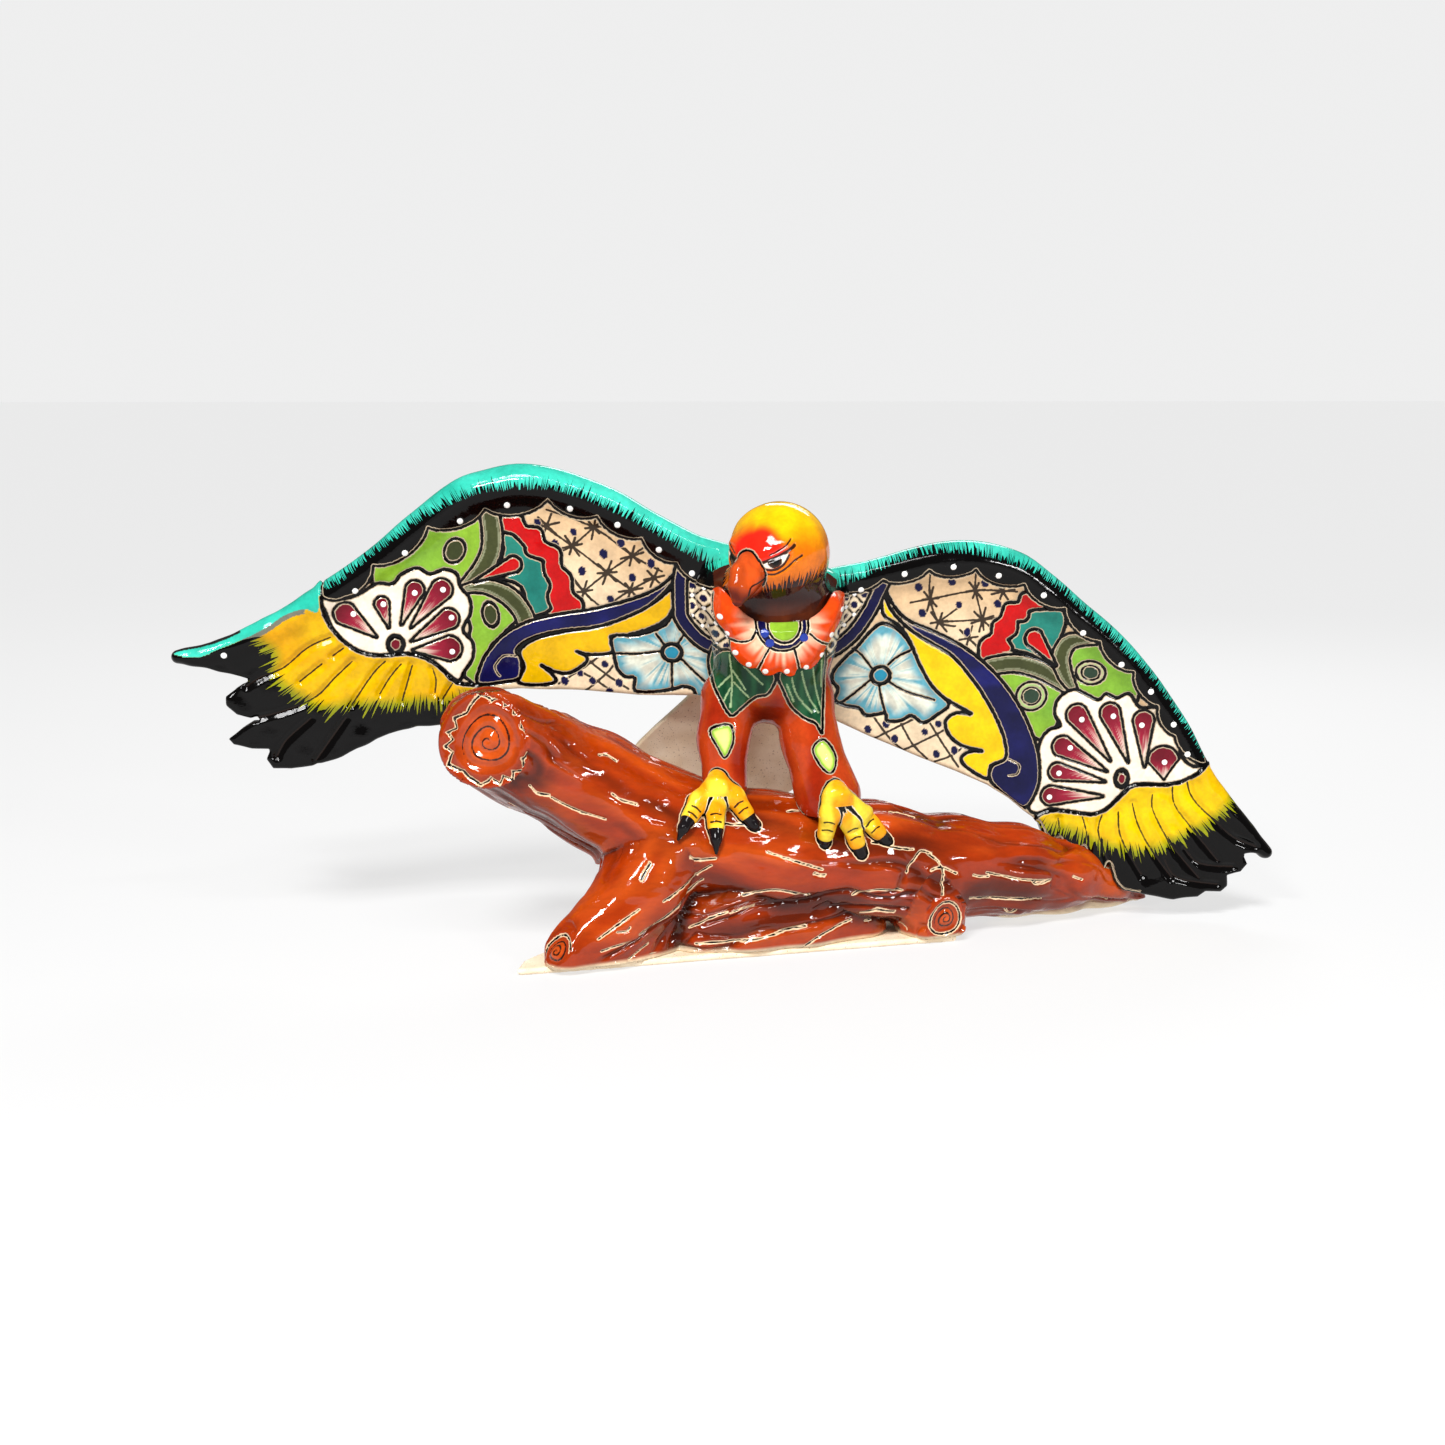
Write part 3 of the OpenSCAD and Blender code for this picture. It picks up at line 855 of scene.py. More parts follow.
def foot_distance(p):
    """Distance to the feet and claws, worked out only near them."""
    x, y, z = p.T
    foot = np.full(len(p), 40.0)
    near = (z > 50) & (z < 130) & (y < -15) & (np.abs(x - BIRD_X) < 80)
    for toes in TOES.values():
        foot[near] = np.minimum(foot[near], np.minimum(toe_field(p[near], toes), claw_field(p[near], toes)))
    return foot


def paint_wood(p, n):
    """Bark with ribs along the grain, cuts through the glaze, and ringed sawn ends."""
    along, across, d = wood(p)[1:]
    z = p[:, 2]
    grain = np.column_stack([along, across[:, 1] - 0.3 * across[:, 0], across[:, 2]])
    ribs = noise(grain, (85, 15, 15))
    fine = noise(grain + 91, (34, 6, 6))
    crease = creases(grain, ribs)
    lift = 5.5 * (ribs - 0.5) + 1.8 * (fine - 0.5) - 2.6 * crease
    sheet = Sheet(p[:, 0], z, BARK)
    sheet.col = bark_colour(grain, ribs, fine, crease, d, n)
    turn = np.arctan2(across[:, 2], -across[:, 1]) * 30
    faces = sawn_faces(p)
    sawn = np.logical_or.reduce(faces)
    sheet.stroke(np.where(sawn, FAR, tool_marks(along, turn)), 0.3)
    for line in GROOVES:
        sheet.stroke(np.where((n[:, 1] < 0.2) & ~sawn, sheet.curve(line), FAR), 0.36)
    for on, (face, reach, points) in zip(faces, SAWN_ENDS):
        flat, away = rings(p, on, face, reach, points)
        sheet.col[on] = flat.col
        sheet.ink[on] = flat.ink
        sheet.pen[on] = flat.pen
        lift[on] = 0.9 * np.sin(away * 0.7) + 1.2 * (noise(p[on], (8, 8, 8)) - 0.5)
    # Feet and claws are outlined on the log under them, and the bark lies flat there
    foot = foot_distance(p)
    sheet.ink = np.minimum(sheet.ink, np.where(foot < 4, foot - 0.9, FAR))
    lift *= step_between(0, 9, foot)
    # The clay shows through thin glaze where the log meets the floor
    rim = step_between(BASE_T + 3.5, BASE_T + 0.5, z + 2 * (fine - 0.5))
    sheet.col = tint(sheet.col, CLAY, rim)
    lift -= 1.0 * (1 - step_between(-0.2, 1.2, sheet.ink)) * (foot > 4)
    lift *= step_between(BASE_T, BASE_T + 3, z)
    return sheet.layers(lift)


GROOVES = [[(-128, 105), (-112, 96), (-95, 90)], [(-60, 42), (-45, 50), (-30, 60)],
    [(-100, 22), (-88, 30), (-75, 38)], [(-75, 22), (-55, 34), (-35, 50)], [(-98, 14), (-88, 17), (-80, 18)],
    [(-45, 20), (-32, 26), (-20, 30)], [(5, 68), (22, 62), (40, 55)], [(-40, 10), (-8, 12), (30, 18)],
    [(25, 2), (40, 12), (60, 18)], [(110, 60), (117, 54), (120, 45), (118, 25)],
    [(95, 50), (104, 62), (112, 60)], [(-10, 40), (10, 44), (32, 38)], [(60, 36), (75, 40), (92, 38)],
    [(150, 44), (170, 38), (196, 34)], [(140, 26), (165, 22), (190, 20)], [(-40, 92), (-25, 86), (-8, 84)],
    [(72, 70), (88, 66), (100, 64)]]


# ---------------------------------------------------------------- the wings

EDGE_LEFT = [(-4, 250), (-21, 255), (-37, 260), (-60, 272), (-82, 285), (-106, 295), (-129, 302),
    (-150, 304), (-171, 300), (-190, 293), (-220, 271), (-240, 254), (-260, 239), (-280, 226), (-300, 213),
    (-320, 203), (-345, 192), (-366, 187)]
TIPS_LEFT = [(-365, 183), (-357, 179), (-340, 173), (-322, 168), (-330, 163), (-336, 157), (-336, 152),
    (-330, 146), (-318, 142), (-328, 136), (-336, 130), (-333, 126), (-322, 123), (-311, 122), (-313, 116),
    (-309, 110), (-298, 109)]
LOWER_LEFT = [(-283, 111), (-265, 116), (-250, 123), (-235, 130), (-217, 135), (-200, 136), (-180, 148),
    (-170, 158), (-124, 159), (-74, 156), (-20, 156)]
EDGE_RIGHT = [(30, 232), (52, 238), (70, 241), (85, 245), (100, 249), (120, 253), (140, 254), (160, 251),
    (180, 244), (200, 229), (220, 212), (240, 195), (260, 174), (280, 148), (292, 130), (301, 112),
    (312, 93), (330, 70), (347, 48)]
TIPS_RIGHT = [(345, 45), (338, 46), (330, 44), (332, 38), (328, 32), (319, 30), (319, 23), (315, 19),
    (305, 19), (300, 15), (284, 13)]
LOWER_RIGHT = [(262, 17), (250, 19), (243, 27), (240, 37), (237, 31), (230, 32), (225, 40), (222, 49),
    (217, 44), (210, 47), (206, 55), (201, 54), (195, 59), (191, 67), (181, 75), (156, 93), (112, 112),
    (76, 128), (40, 146)]

WINGS = {
    "left": (EDGE_LEFT, TIPS_LEFT, LOWER_LEFT, 11.2),
    "right": (EDGE_RIGHT, TIPS_RIGHT, LOWER_RIGHT, 12.5),
}
HIGH = 340                      # a height above both wings
DIAGONAL = 1.414                # across plus up, for each mm along a diagonal
LATTICE_END = {"left": 146, "right": 132}


def wing_depth(x):
    """How far back the wing's middle plane lies; it bows backwards between shoulder and tip."""
    return WING_Y + WING_BOW * np.sin(np.pi * np.clip((np.abs(x - BIRD_X) - WING_ROOT) / WING_REACH, 0, 1))


def roll_radius(f):
    """Radius of the rolled leading edge, from the shoulder (0) to the tip (1)."""
    return 13 * (0.56 + 0.44 * np.sin(np.pi * (1 - f) ** 1.5)) * (1 - 0.5 * step_between(0.82, 1.0, f))


class Chart:
    """Numbers kept on a 1 mm chart of the wing's plane, and read back smoothly."""

    def __init__(self, lo, hi):
        self.lo = np.array(lo, float)
        self.shape = tuple(int(h - l) + 1 for l, h in zip(lo, hi))
        self.u, self.v = [a.ravel() for a in np.meshgrid(*[np.arange(s) + l for s, l in zip(self.shape, lo)],
                                                         indexing="ij")]

    def read(self, values, x, z):
        u = np.clip(x - self.lo[0], 0, self.shape[0] - 1.001)
        v = np.clip(z - self.lo[1], 0, self.shape[1] - 1.001)
        i, j = u.astype(int), v.astype(int)
        f, g = u - i, v - j
        c = values.reshape(self.shape)
        low = c[i, j] * (1 - f) + c[i + 1, j] * f
        high = c[i, j + 1] * (1 - f) + c[i + 1, j + 1] * f
        return low * (1 - g) + high * g


class Wing:
    """A slab with a rolled leading edge, a row of feather tips and a lower edge."""

    def __init__(self, side):
        edge, tips, lower, self.t = WINGS[side]
        self.side = side
        self.far = 400 if side == "right" else -400
        self.edge = spline(edge, 4)
        rest = [spline(tips, 1), spline(lower, 2)]
        outline = np.concatenate([self.edge, *rest])
        lo, hi = outline.min(0), outline.max(0)
        self.lo = (lo[0], WING_Y - 16, lo[1])
        self.hi = (hi[0], WING_Y + WING_BOW + 16, hi[1])
        self.chart = Chart(np.floor(lo - 24), np.ceil(hi + 24))
        grid = Sheet(self.chart.u, self.chart.v, CREAM)
        radius = roll_radius(np.linspace(0, 1, len(self.edge)))
        slope = np.gradient(self.edge, axis=0)
        slope /= np.linalg.norm(slope, axis=1)[:, None]
        inward = np.column_stack([-slope[:, 1], slope[:, 0]]) * (1 if side == "left" else -1)
        middle = self.edge + inward * radius[:, None]
        self.away, self.run_chart, self.thick = self.chart_roll(grid, middle, radius)
        self.inside = grid.line(np.concatenate([middle, *rest]), closed=True, margin=400)
        self.depth_of_edge = grid.line(self.edge, margin=400)

    @staticmethod
    def chart_roll(grid, middle, radius):
        """For each point of the chart: distance to the roll's middle line, place along it, and the radius."""
        best = np.full(len(grid.u), 1e6)
        run, thick = np.zeros(len(grid.u)), np.zeros(len(grid.u))
        start = 0.0
        for i in range(len(middle) - 1):
            a, b = middle[i], middle[i + 1]
            step = b - a
            length = np.hypot(*step)
            t = np.clip(((grid.u - a[0]) * step[0] + (grid.v - a[1]) * step[1]) / length**2, 0, 1)
            d = np.hypot(grid.u - a[0] - t * step[0], grid.v - a[1] - t * step[1])
            closer = d < best
            best = np.where(closer, d, best)
            run = np.where(closer, start + t * length, run)
            thick = np.where(closer, radius[i] + t * (radius[i + 1] - radius[i]), thick)
            start += length
        return best, run, thick

    def field(self, p):
        x, y, z = p.T
        dy = y - wing_depth(x)
        slab = rounded(self.chart.read(self.inside, x, z) + 3.0, np.abs(dy) - self.t / 2 + 3.0, 3.0)
        roll = np.hypot(self.chart.read(self.away, x, z), dy) - self.chart.read(self.thick, x, z)
        return smooth_min(slab, roll, 7)

    def run(self, x, z):
        """Place along the rolled edge."""
        return self.chart.read(self.run_chart, x, z)

    def feather_zone(self, sheet):
        """Signed distance to the flight feathers' part of the wing, outside the painted border."""
        border = FACE[self.side]["border"]
        top, bottom = [(self.far, HIGH), (border[0][0], HIGH)], [(border[-1][0], -20), (self.far, -20)]
        return sheet.line([*top, *spline(border, 3), *bottom], closed=True, margin=500)

    def share(self, p):
        """Which part a point belongs to: 0 the panel, 1 the rolled edge, 2 the flight feathers."""
        x, z = p[:, 0], p[:, 2]
        rolled = self.chart.read(self.away, x, z) < self.chart.read(self.thick, x, z) + 2.0
        feathers = self.feather_zone(Sheet(x, z, CREAM)) < 0
        return np.where(rolled, 1, np.where(feathers, 2, 0))


# ---------------------------------------------------------------- painting the wings
# Each wing's drawing is in its own plane: across and up, in mm

FACE = {
    "left": dict(
        black_top=[(-290, 205), (-276, 222), (-262, 229), (-250, 239), (-240, 247), (-230, 254), (-220, 261),
            (-210, 268), (-200, 274), (-190, 279), (-180, 283), (-170, 286), (-150, 288), (-130, 288),
            (-120, 286), (-110, 283), (-100, 279), (-80, 270), (-60, 259), (-50, 252), (-40, 246),
            (-30, 239), (-14, 232)],
        cusps=[(-275, 222), (-259, 220), (-241, 240), (-206, 264), (-170, 275), (-130, 281), (-99, 271),
            (-71, 257), (-49, 241), (-24, 228), (4, 222)],
        dots=[(-336, 184), (-253, 224), (-221, 248), (-186, 268), (-156, 278), (-116, 276), (-86, 266),
            (-60, 250), (-39, 235)],
        teal_tip=[(-368, 186), (-361, 184), (-349, 184), (-340, 188), (-325, 194), (-310, 201), (-298, 209),
            (-285, 213), (-277, 211), (-275, 224)],
        stars=[(-131, 265), (-101, 264), (-115, 252), (-77, 246), (-93, 235), (-63, 232), (-108, 223),
            (-78, 224)],
        ovals=[(-137, 267), (-114, 261), (-126, 253), (-84, 254), (-95, 247), (-109, 236), (-65, 241),
            (-77, 232), (-91, 218)],
        lattice=[[(-137, 267), (-115, 252), (-93, 235), (-78, 224)],
            [(-131, 275), (-101, 264), (-77, 246), (-58, 236)], [(-126, 247), (-108, 223), (-96, 212)],
            [(-108, 223), (-93, 235), (-77, 246), (-66, 254)],
            [(-126, 247), (-115, 252), (-101, 264), (-92, 272)], [(-96, 212), (-78, 224), (-63, 232)]],
        swoosh=[(-46, 240), (-52, 233), (-60, 226), (-75, 219), (-100, 212), (-125, 208), (-145, 203),
            (-160, 195), (-170, 184), (-175, 175), (-177, 163), (-160, 164), (-150, 167), (-149, 179),
            (-152, 185), (-143, 192), (-125, 197), (-100, 200), (-80, 207), (-65, 215), (-52, 228)],
        curl=[(-152, 181), (-160, 181), (-166, 174), (-163, 168)],
        acanthus=[(-48, 228), (-51, 212), (-60, 202), (-80, 195), (-91, 194), (-88, 188), (-92, 183),
            (-105, 182), (-113, 184), (-107, 181), (-108, 176), (-118, 170), (-128, 171), (-136, 175),
            (-130, 170), (-127, 164), (-140, 162), (-151, 164), (-147, 174), (-150, 184), (-140, 192),
            (-120, 197), (-100, 200), (-80, 207), (-62, 217)],
        under=[[(-125, 178), (-105, 168), (-90, 158)], [(-110, 182), (-95, 170), (-80, 160)],
            [(-125, 163), (-108, 174), (-95, 184)], [(-108, 158), (-92, 172), (-84, 184)]],
        under_dots=[(-95, 176), (-111, 170), (-103, 165), (-121, 165), (-86, 164), (-92, 158), (-120, 175)],
        flower=[(-90, 194), (-89, 182), (-87, 173), (-82, 168), (-76, 167), (-76, 159), (-66, 158),
            (-52, 160), (-45, 162), (-38, 160), (-36, 152), (-30, 150), (-24, 156), (-25, 170), (-27, 186),
            (-34, 192), (-44, 203), (-51, 212), (-56, 202), (-74, 195)],
        flower_eye=(-52, 184),
        flower_lines=[[(-58, 185), (-72, 183), (-88, 183)], [(-52, 178), (-52, 168), (-52, 160)],
            [(-46, 180), (-38, 172), (-28, 163)], [(-48, 190), (-44, 196)], [(-57, 189), (-62, 196)]],
        shoulder=[(-49, 243), (-51, 230), (-51, 215), (-50, 205), (-42, 194), (-32, 186), (-10, 178)],
        shell=[(-275, 223), (-272, 210), (-268, 199), (-260, 190), (-250, 184), (-238, 182), (-222, 183),
            (-210, 180), (-200, 173), (-190, 165), (-185, 172), (-180, 180), (-180, 190), (-186, 198),
            (-181, 208), (-181, 218), (-187, 226), (-189, 234), (-197, 237), (-206, 234), (-214, 238),
            (-224, 234), (-230, 228), (-240, 228), (-250, 222), (-262, 219)],
        hub=((-229, 189), 4.5, 5.0),
        drops=[((-260, 209), (-241, 194), 7.6, (-255, 209)), ((-237, 215), (-233, 200), 5.0, (-236, 215)),
            ((-216, 224), (-225, 202), 6.2, (-216, 222)), ((-199, 224), (-219, 200), 7.2, (-198, 224)),
            ((-195, 205), (-219, 191), 7.0, (-193, 206)), ((-195, 186), (-218, 185), 8.4, (-193, 184))],
        greens=[[(-243, 248), (-242, 226), (-200, 226), (-184, 228), (-172, 240), (-166, 258), (-168, 280),
            (-206, 266)],
            [(-188, 226), (-181, 200), (-186, 168), (-178, 161), (-168, 188), (-150, 205), (-160, 220)]],
        eyes=[((-190, 249), 8.0, 10.0, -25), ((-168, 208), 6.4, 10.0, 12)],
        arches=[[(-169, 280, 6), (-166, 262, 6.5), (-167, 248, 6.5), (-173, 237, 6), (-184, 227, 3.5)],
            [(-186, 224, 2.5), (-172, 226, 4.5), (-158, 221, 6), (-149, 212, 6), (-145, 203, 6)]],
        fan=[(-163, 262), (-154, 262), (-149, 259), (-143, 252), (-142, 248), (-132, 244), (-131, 236),
            (-127, 227), (-129, 219), (-127, 211), (-134, 206), (-146, 205), (-150, 224), (-168, 229),
            (-178, 230), (-162, 246)],
        red_drop=((-153, 240), (-178, 229), 5.4),
        scallops=[(-166, 271), (-150, 272), (-145, 264), (-136, 262), (-133, 254), (-124, 249), (-123, 239),
            (-117, 232), (-116, 222), (-110, 216), (-112, 209), (-130, 207), (-150, 250)],
        border=[(-275, 224), (-273, 209), (-268, 199), (-260, 190), (-250, 184), (-238, 182), (-222, 183),
            (-210, 180), (-200, 173), (-191, 164), (-176, 162)],
        yellow=YELLOW,
        ragged=[(-325, 206), (-318, 194), (-306, 184), (-309, 172), (-300, 162), (-288, 153), (-275, 147),
            (-255, 149), (-230, 149), (-212, 151), (-200, 150), (-178, 156)],
        fan_middle=(-205, 228),
        grooves=[[(-270, 194), (-284, 188), (-300, 175), (-313, 170), (-323, 164)],
            [(-262, 187), (-269, 182)], [(-276, 177), (-290, 166)],
            [(-257, 178), (-268, 168), (-280, 156), (-298, 148), (-318, 143)],
            [(-236, 178), (-244, 170), (-258, 150)], [(-226, 176), (-233, 168), (-240, 157)],
            [(-219, 175), (-226, 152)], [(-206, 173), (-204, 165), (-205, 157)], [(-193, 164), (-200, 153)],
            [(-306, 118), (-300, 128), (-284, 142)], [(-282, 114), (-272, 128), (-262, 142)]],
    ),
    "right": dict(
        black_top=[(46, 228), (60, 228), (75, 234), (90, 240), (105, 245), (120, 247), (140, 246),
            (155, 243), (170, 238), (185, 232), (200, 221), (215, 208), (230, 194), (245, 179), (260, 165),
            (275, 146), (290, 124), (302, 107), (310, 96)],
        cusps=[(18, 222), (46, 226), (83, 230), (113, 236), (144, 236), (176, 226), (203, 210), (227, 188),
            (250, 168), (267, 145), (279, 125), (302, 106)],
        dots=[(69, 224), (97, 234), (129, 238), (159, 232), (189, 219), (216, 194), (242, 173), (262, 155),
            (278, 133), (288, 113)],
        teal_tip=None,
        stars=[(115, 217), (145, 222), (163, 221), (150, 203), (121, 202), (141, 191)],
        ovals=[(107, 225), (129, 228), (151, 227), (134, 213), (160, 213), (110, 208), (140, 195)],
        lattice=[[(102, 215), (115, 217), (145, 222), (172, 221)],
            [(114, 234), (115, 217), (121, 202), (132, 199)],
            [(144, 236), (145, 222), (150, 203), (151, 196)], [(121, 202), (150, 203), (160, 204)],
            [(121, 202), (135, 212)]],
        swoosh=[(82, 230), (90, 215), (100, 204), (120, 195), (140, 184), (157, 170), (170, 155), (180, 139),
            (188, 120), (191, 105), (190, 90), (182, 77), (170, 84), (158, 96), (159, 106), (168, 111),
            (166, 126), (157, 145), (145, 163), (130, 180), (110, 192), (97, 202), (88, 213)],
        curl=[(170, 110), (177, 106), (176, 100), (170, 99)],
        acanthus=[(84, 224), (84, 208), (95, 200), (103, 188), (110, 172), (120, 157), (132, 148),
            (144, 141), (134, 142), (127, 137), (129, 128), (138, 120), (152, 116), (144, 116), (138, 112),
            (141, 106), (156, 97), (158, 106), (168, 111), (166, 126), (157, 145), (145, 163), (130, 180),
            (110, 192), (97, 202), (90, 212)],
        under=[[(78, 142), (90, 126), (98, 119)], [(97, 136), (105, 122), (115, 112)],
            [(115, 138), (125, 122), (136, 106)], [(80, 127), (95, 134), (106, 139)],
            [(98, 118), (112, 124), (128, 132), (136, 140)], [(120, 110), (132, 114), (142, 122)]],
        under_dots=[(75, 133), (87, 136), (122, 135), (113, 130), (93, 126), (133, 117), (121, 115)],
        flower=[(52, 172), (51, 166), (55, 160), (53, 153), (60, 149), (69, 147), (74, 142), (86, 143),
            (88, 138), (97, 138), (104, 141), (112, 136), (121, 141), (129, 148), (119, 158), (110, 172),
            (103, 187), (95, 197), (84, 202), (76, 197), (68, 188), (58, 179)],
        flower_eye=(83, 168),
        flower_lines=[[(77, 173), (70, 182), (64, 186)], [(88, 175), (94, 180), (103, 184)],
            [(88, 164), (100, 157), (119, 151)], [(82, 162), (84, 152), (87, 142)],
            [(76, 165), (66, 157), (57, 151)]],
        shoulder=[(88, 228), (82, 214), (77, 205), (68, 193), (57, 184), (44, 178)],
        shell=[(302, 106), (296, 101), (288, 95), (276, 91), (255, 91), (246, 85), (236, 74), (226, 71),
            (212, 73), (200, 76), (190, 73), (184, 78), (190, 95), (190, 118), (196, 129), (204, 132),
            (200, 140), (202, 150), (212, 156), (222, 152), (229, 149), (234, 153), (241, 150), (249, 153),
            (256, 144), (267, 144), (274, 130), (282, 122), (284, 112), (292, 105)],
        hub=((246, 96), 3.8, 5.2),
        drops=[((215, 139), (238, 108), 7.4, (218, 136)), ((237, 140), (250, 107), 7.0, (239, 138)),
            ((259, 135), (261, 104), 7.0, (258, 132)), ((206, 118), (236, 101), 7.2, (211, 117)),
            ((203, 101), (235, 94), 6.2, (204, 100)), ((199, 85), (234, 84), 6.8, (198, 84)), ((273, 108),
            (274, 96), 10.0, (274, 107))],
        greens=[[(158, 172), (170, 148), (185, 125), (196, 120), (205, 140), (208, 160), (195, 168),
            (175, 174)], [(212, 158), (212, 146), (254, 148), (258, 170), (236, 184), (226, 192), (212, 188),
            (208, 176)]],
        eyes=[((184, 152), 10.0, 9.4, 0), ((223, 167), 9.8, 7.6, -10)],
        arches=[[(156, 172, 6), (172, 174, 6), (188, 170, 6), (198, 164, 5), (208, 156, 3)],
            [(224, 189, 3), (209, 188, 5.5), (203, 178, 6), (206, 166, 5), (212, 156, 3)]],
        fan=[(158, 182), (168, 183), (165, 190), (171, 195), (172, 203), (178, 204), (180, 210), (195, 212),
            (204, 210), (207, 200), (204, 186), (204, 176), (208, 160), (196, 168), (180, 178)],
        red_drop=((185, 190), (200, 172), 6.2),
        scallops=[(150, 188), (150, 178), (158, 174), (170, 180), (180, 205), (190, 212), (183, 219),
            (176, 219), (174, 213), (166, 212), (163, 204), (158, 200), (157, 193)],
        border=[(309, 108), (302, 106), (296, 101), (288, 95), (276, 92), (255, 92), (246, 85), (236, 75),
            (226, 72), (212, 74), (200, 75), (191, 72), (187, 66), (192, 60)],
        yellow=linear(230, 188, 4),
        ragged=[(322, 84), (312, 70), (300, 62), (285, 54), (268, 46), (246, 47), (230, 52), (215, 59),
            (203, 62), (190, 64)],
        fan_middle=(232, 145),
        grooves=[[(205, 69), (206, 62)], [(221, 70), (224, 60), (226, 48), (224, 44)],
            [(234, 71), (232, 60), (236, 48), (239, 40)], [(245, 73), (246, 60), (251, 48), (262, 30)],
            [(254, 79), (258, 65), (266, 50), (282, 28)], [(267, 85), (268, 74), (280, 52), (300, 28)],
            [(280, 91), (282, 78), (294, 62), (312, 40)],
            [(289, 95), (294, 82), (308, 68), (322, 56), (336, 50)], [(290, 48), (300, 38), (322, 36)],
            [(277, 40), (286, 28), (312, 24)]],
    ),
}


EYE_RINGS = {
    "left": [(0.8, linear(52, 58, 30), 0.8)],
    "right": [(1, linear(150, 180, 110), 0.7), (0.62, linear(40, 58, 44), 0.5)],
}


def scallop_line(cusps, sag):
    """The line of hanging arcs through the cusps; each arc sinks towards the painted panel."""
    out = []
    for a, b in zip(cusps, cusps[1:]):
        a, b = np.array(a, float), np.array(b, float)
        down = np.array([b[1] - a[1], a[0] - b[0]])
        down /= np.linalg.norm(down)
        depth = sag * np.linalg.norm(b - a)
        for f in np.arange(8) / 8:
            out.append(a + (b - a) * f + down * depth * (1 - (2 * f - 1)**2) ** 0.8)
    out.append(np.array(cusps[-1], float))
    return out


def star(sheet, c, size):
    """Three scratched lines that cross, uneven in turn and length."""
    for turn in (4, 66, 124):
        a = math.radians(turn + 14 * rng.random())
        reach = size * (0.8 + 0.5 * rng.random())
        step = np.array([math.cos(a), math.sin(a)]) * reach
        sheet.scratch(sheet.line([np.array(c) - step, np.array(c) + step]), 0.6)


def red_petal(sheet, a, b, radius, dot):
    """A drop of wine-red from a to b, paler towards b and with brush streaks, and a white dot on it."""
    toward = np.subtract(b, a)
    du, dv = sheet.u - a[0], sheet.v - a[1]
    along = (du * toward[0] + dv * toward[1]) / (toward @ toward)
    across = (du * toward[1] - dv * toward[0]) / np.linalg.norm(toward)
    streak = 0.5 + 0.5 * np.sin(across * 3.1 + 2 * np.sin(across * 1.7))
    fade = 0.85 * step_between(0.5, 1.1, along + 0.35 * streak)
    red = tint(MAROON, linear(158, 30, 56), step_between(-0.2, 0.6, along))
    sheet.fill(sheet.drop(a, b, radius, 0.7), tint(red, PALE, fade), half=0.85)
    sheet.white_dots([dot], 1.8)


def paint_starred_field(sheet, wing):
    """The cream ground, painted warmer and darker towards the roll as shade below it, with scratched stars
    and navy spots.
    """
    f = FACE[wing.side]
    # Painted shade: the ground turns tan and darker close under the rolled edge
    shade = step_between(75, 25, np.abs(wing.chart.read(wing.depth_of_edge, sheet.u, sheet.v)))
    sheet.col = tint(CREAM, TAN, 0.35 + 0.65 * shade)
    for line in f["lattice"]:
        sheet.scratch(sheet.curve(line, 3), 0.5)
    for c in f["stars"]:
        star(sheet, c, 6.4)
    sheet.spots(f["ovals"], 2.3, NAVY)


def paint_fans(sheet, side, p):
    """Red and green fans, and lime leaves with eyes under olive arches."""
    f = FACE[side]
    sheet.fill(sheet.blob(f["scallops"]) - 1.2, RED)
    teal = tint(FAN_GREEN, linear(44, 134, 116), noise(p, (14, 14, 14)))
    sheet.fill(sheet.blob(f["fan"]) + 2.4, teal)
    lime = tint(GREEN, linear(112, 160, 52), noise(p, (18, 18, 18)))
    for area in f["greens"]:
        sheet.fill(sheet.line(area, closed=True), lime)
    for knots in f["arches"]:
        s = sheet.band(knots)
        sheet.fill(s, OLIVE, half=0.9)
        sheet.col[np.abs(s + 2.4) < 0.6] = linear(126, 128, 100)
    a, b, r = f["red_drop"]
    sheet.fill(sheet.drop(a, b, r, 0.6), RED)
    for c, ru, rv, turn in f["eyes"]:
        for size, colour, half in EYE_RINGS[side]:
            sheet.fill(sheet.disc(c, ru * size, rv * size, turn), colour, half=half)


def paint_shell(sheet, side):
    """The white shell with its fan of wine-red petals round a hub."""
    f = FACE[side]
    sheet.fill(sheet.blob(f["shell"]), PALE)
    for petal in f["drops"]:
        red_petal(sheet, *petal)
    c, ru, rv = f["hub"]
    sheet.fill(sheet.disc(c, ru + 0.6, rv + 0.6), PALE, half=1.2)
    sheet.fill(sheet.disc(c, ru - 0.9, rv - 0.9), MAROON, half=0.3)


def paint_acanthus(sheet, side):
    """Below the swoosh: a small lattice with navy spots, and the yellow acanthus."""
    f = FACE[side]
    low = np.abs(sheet.u - BIRD_X) < LATTICE_END[side]
    for line in f["under"]:
        sheet.scratch(np.where(low, sheet.curve(line, 3), FAR), 0.55)
    sheet.spots(f["under_dots"], 2.2, NAVY)
    sheet.fill(sheet.blob(f["acanthus"], 4), f["yellow"])


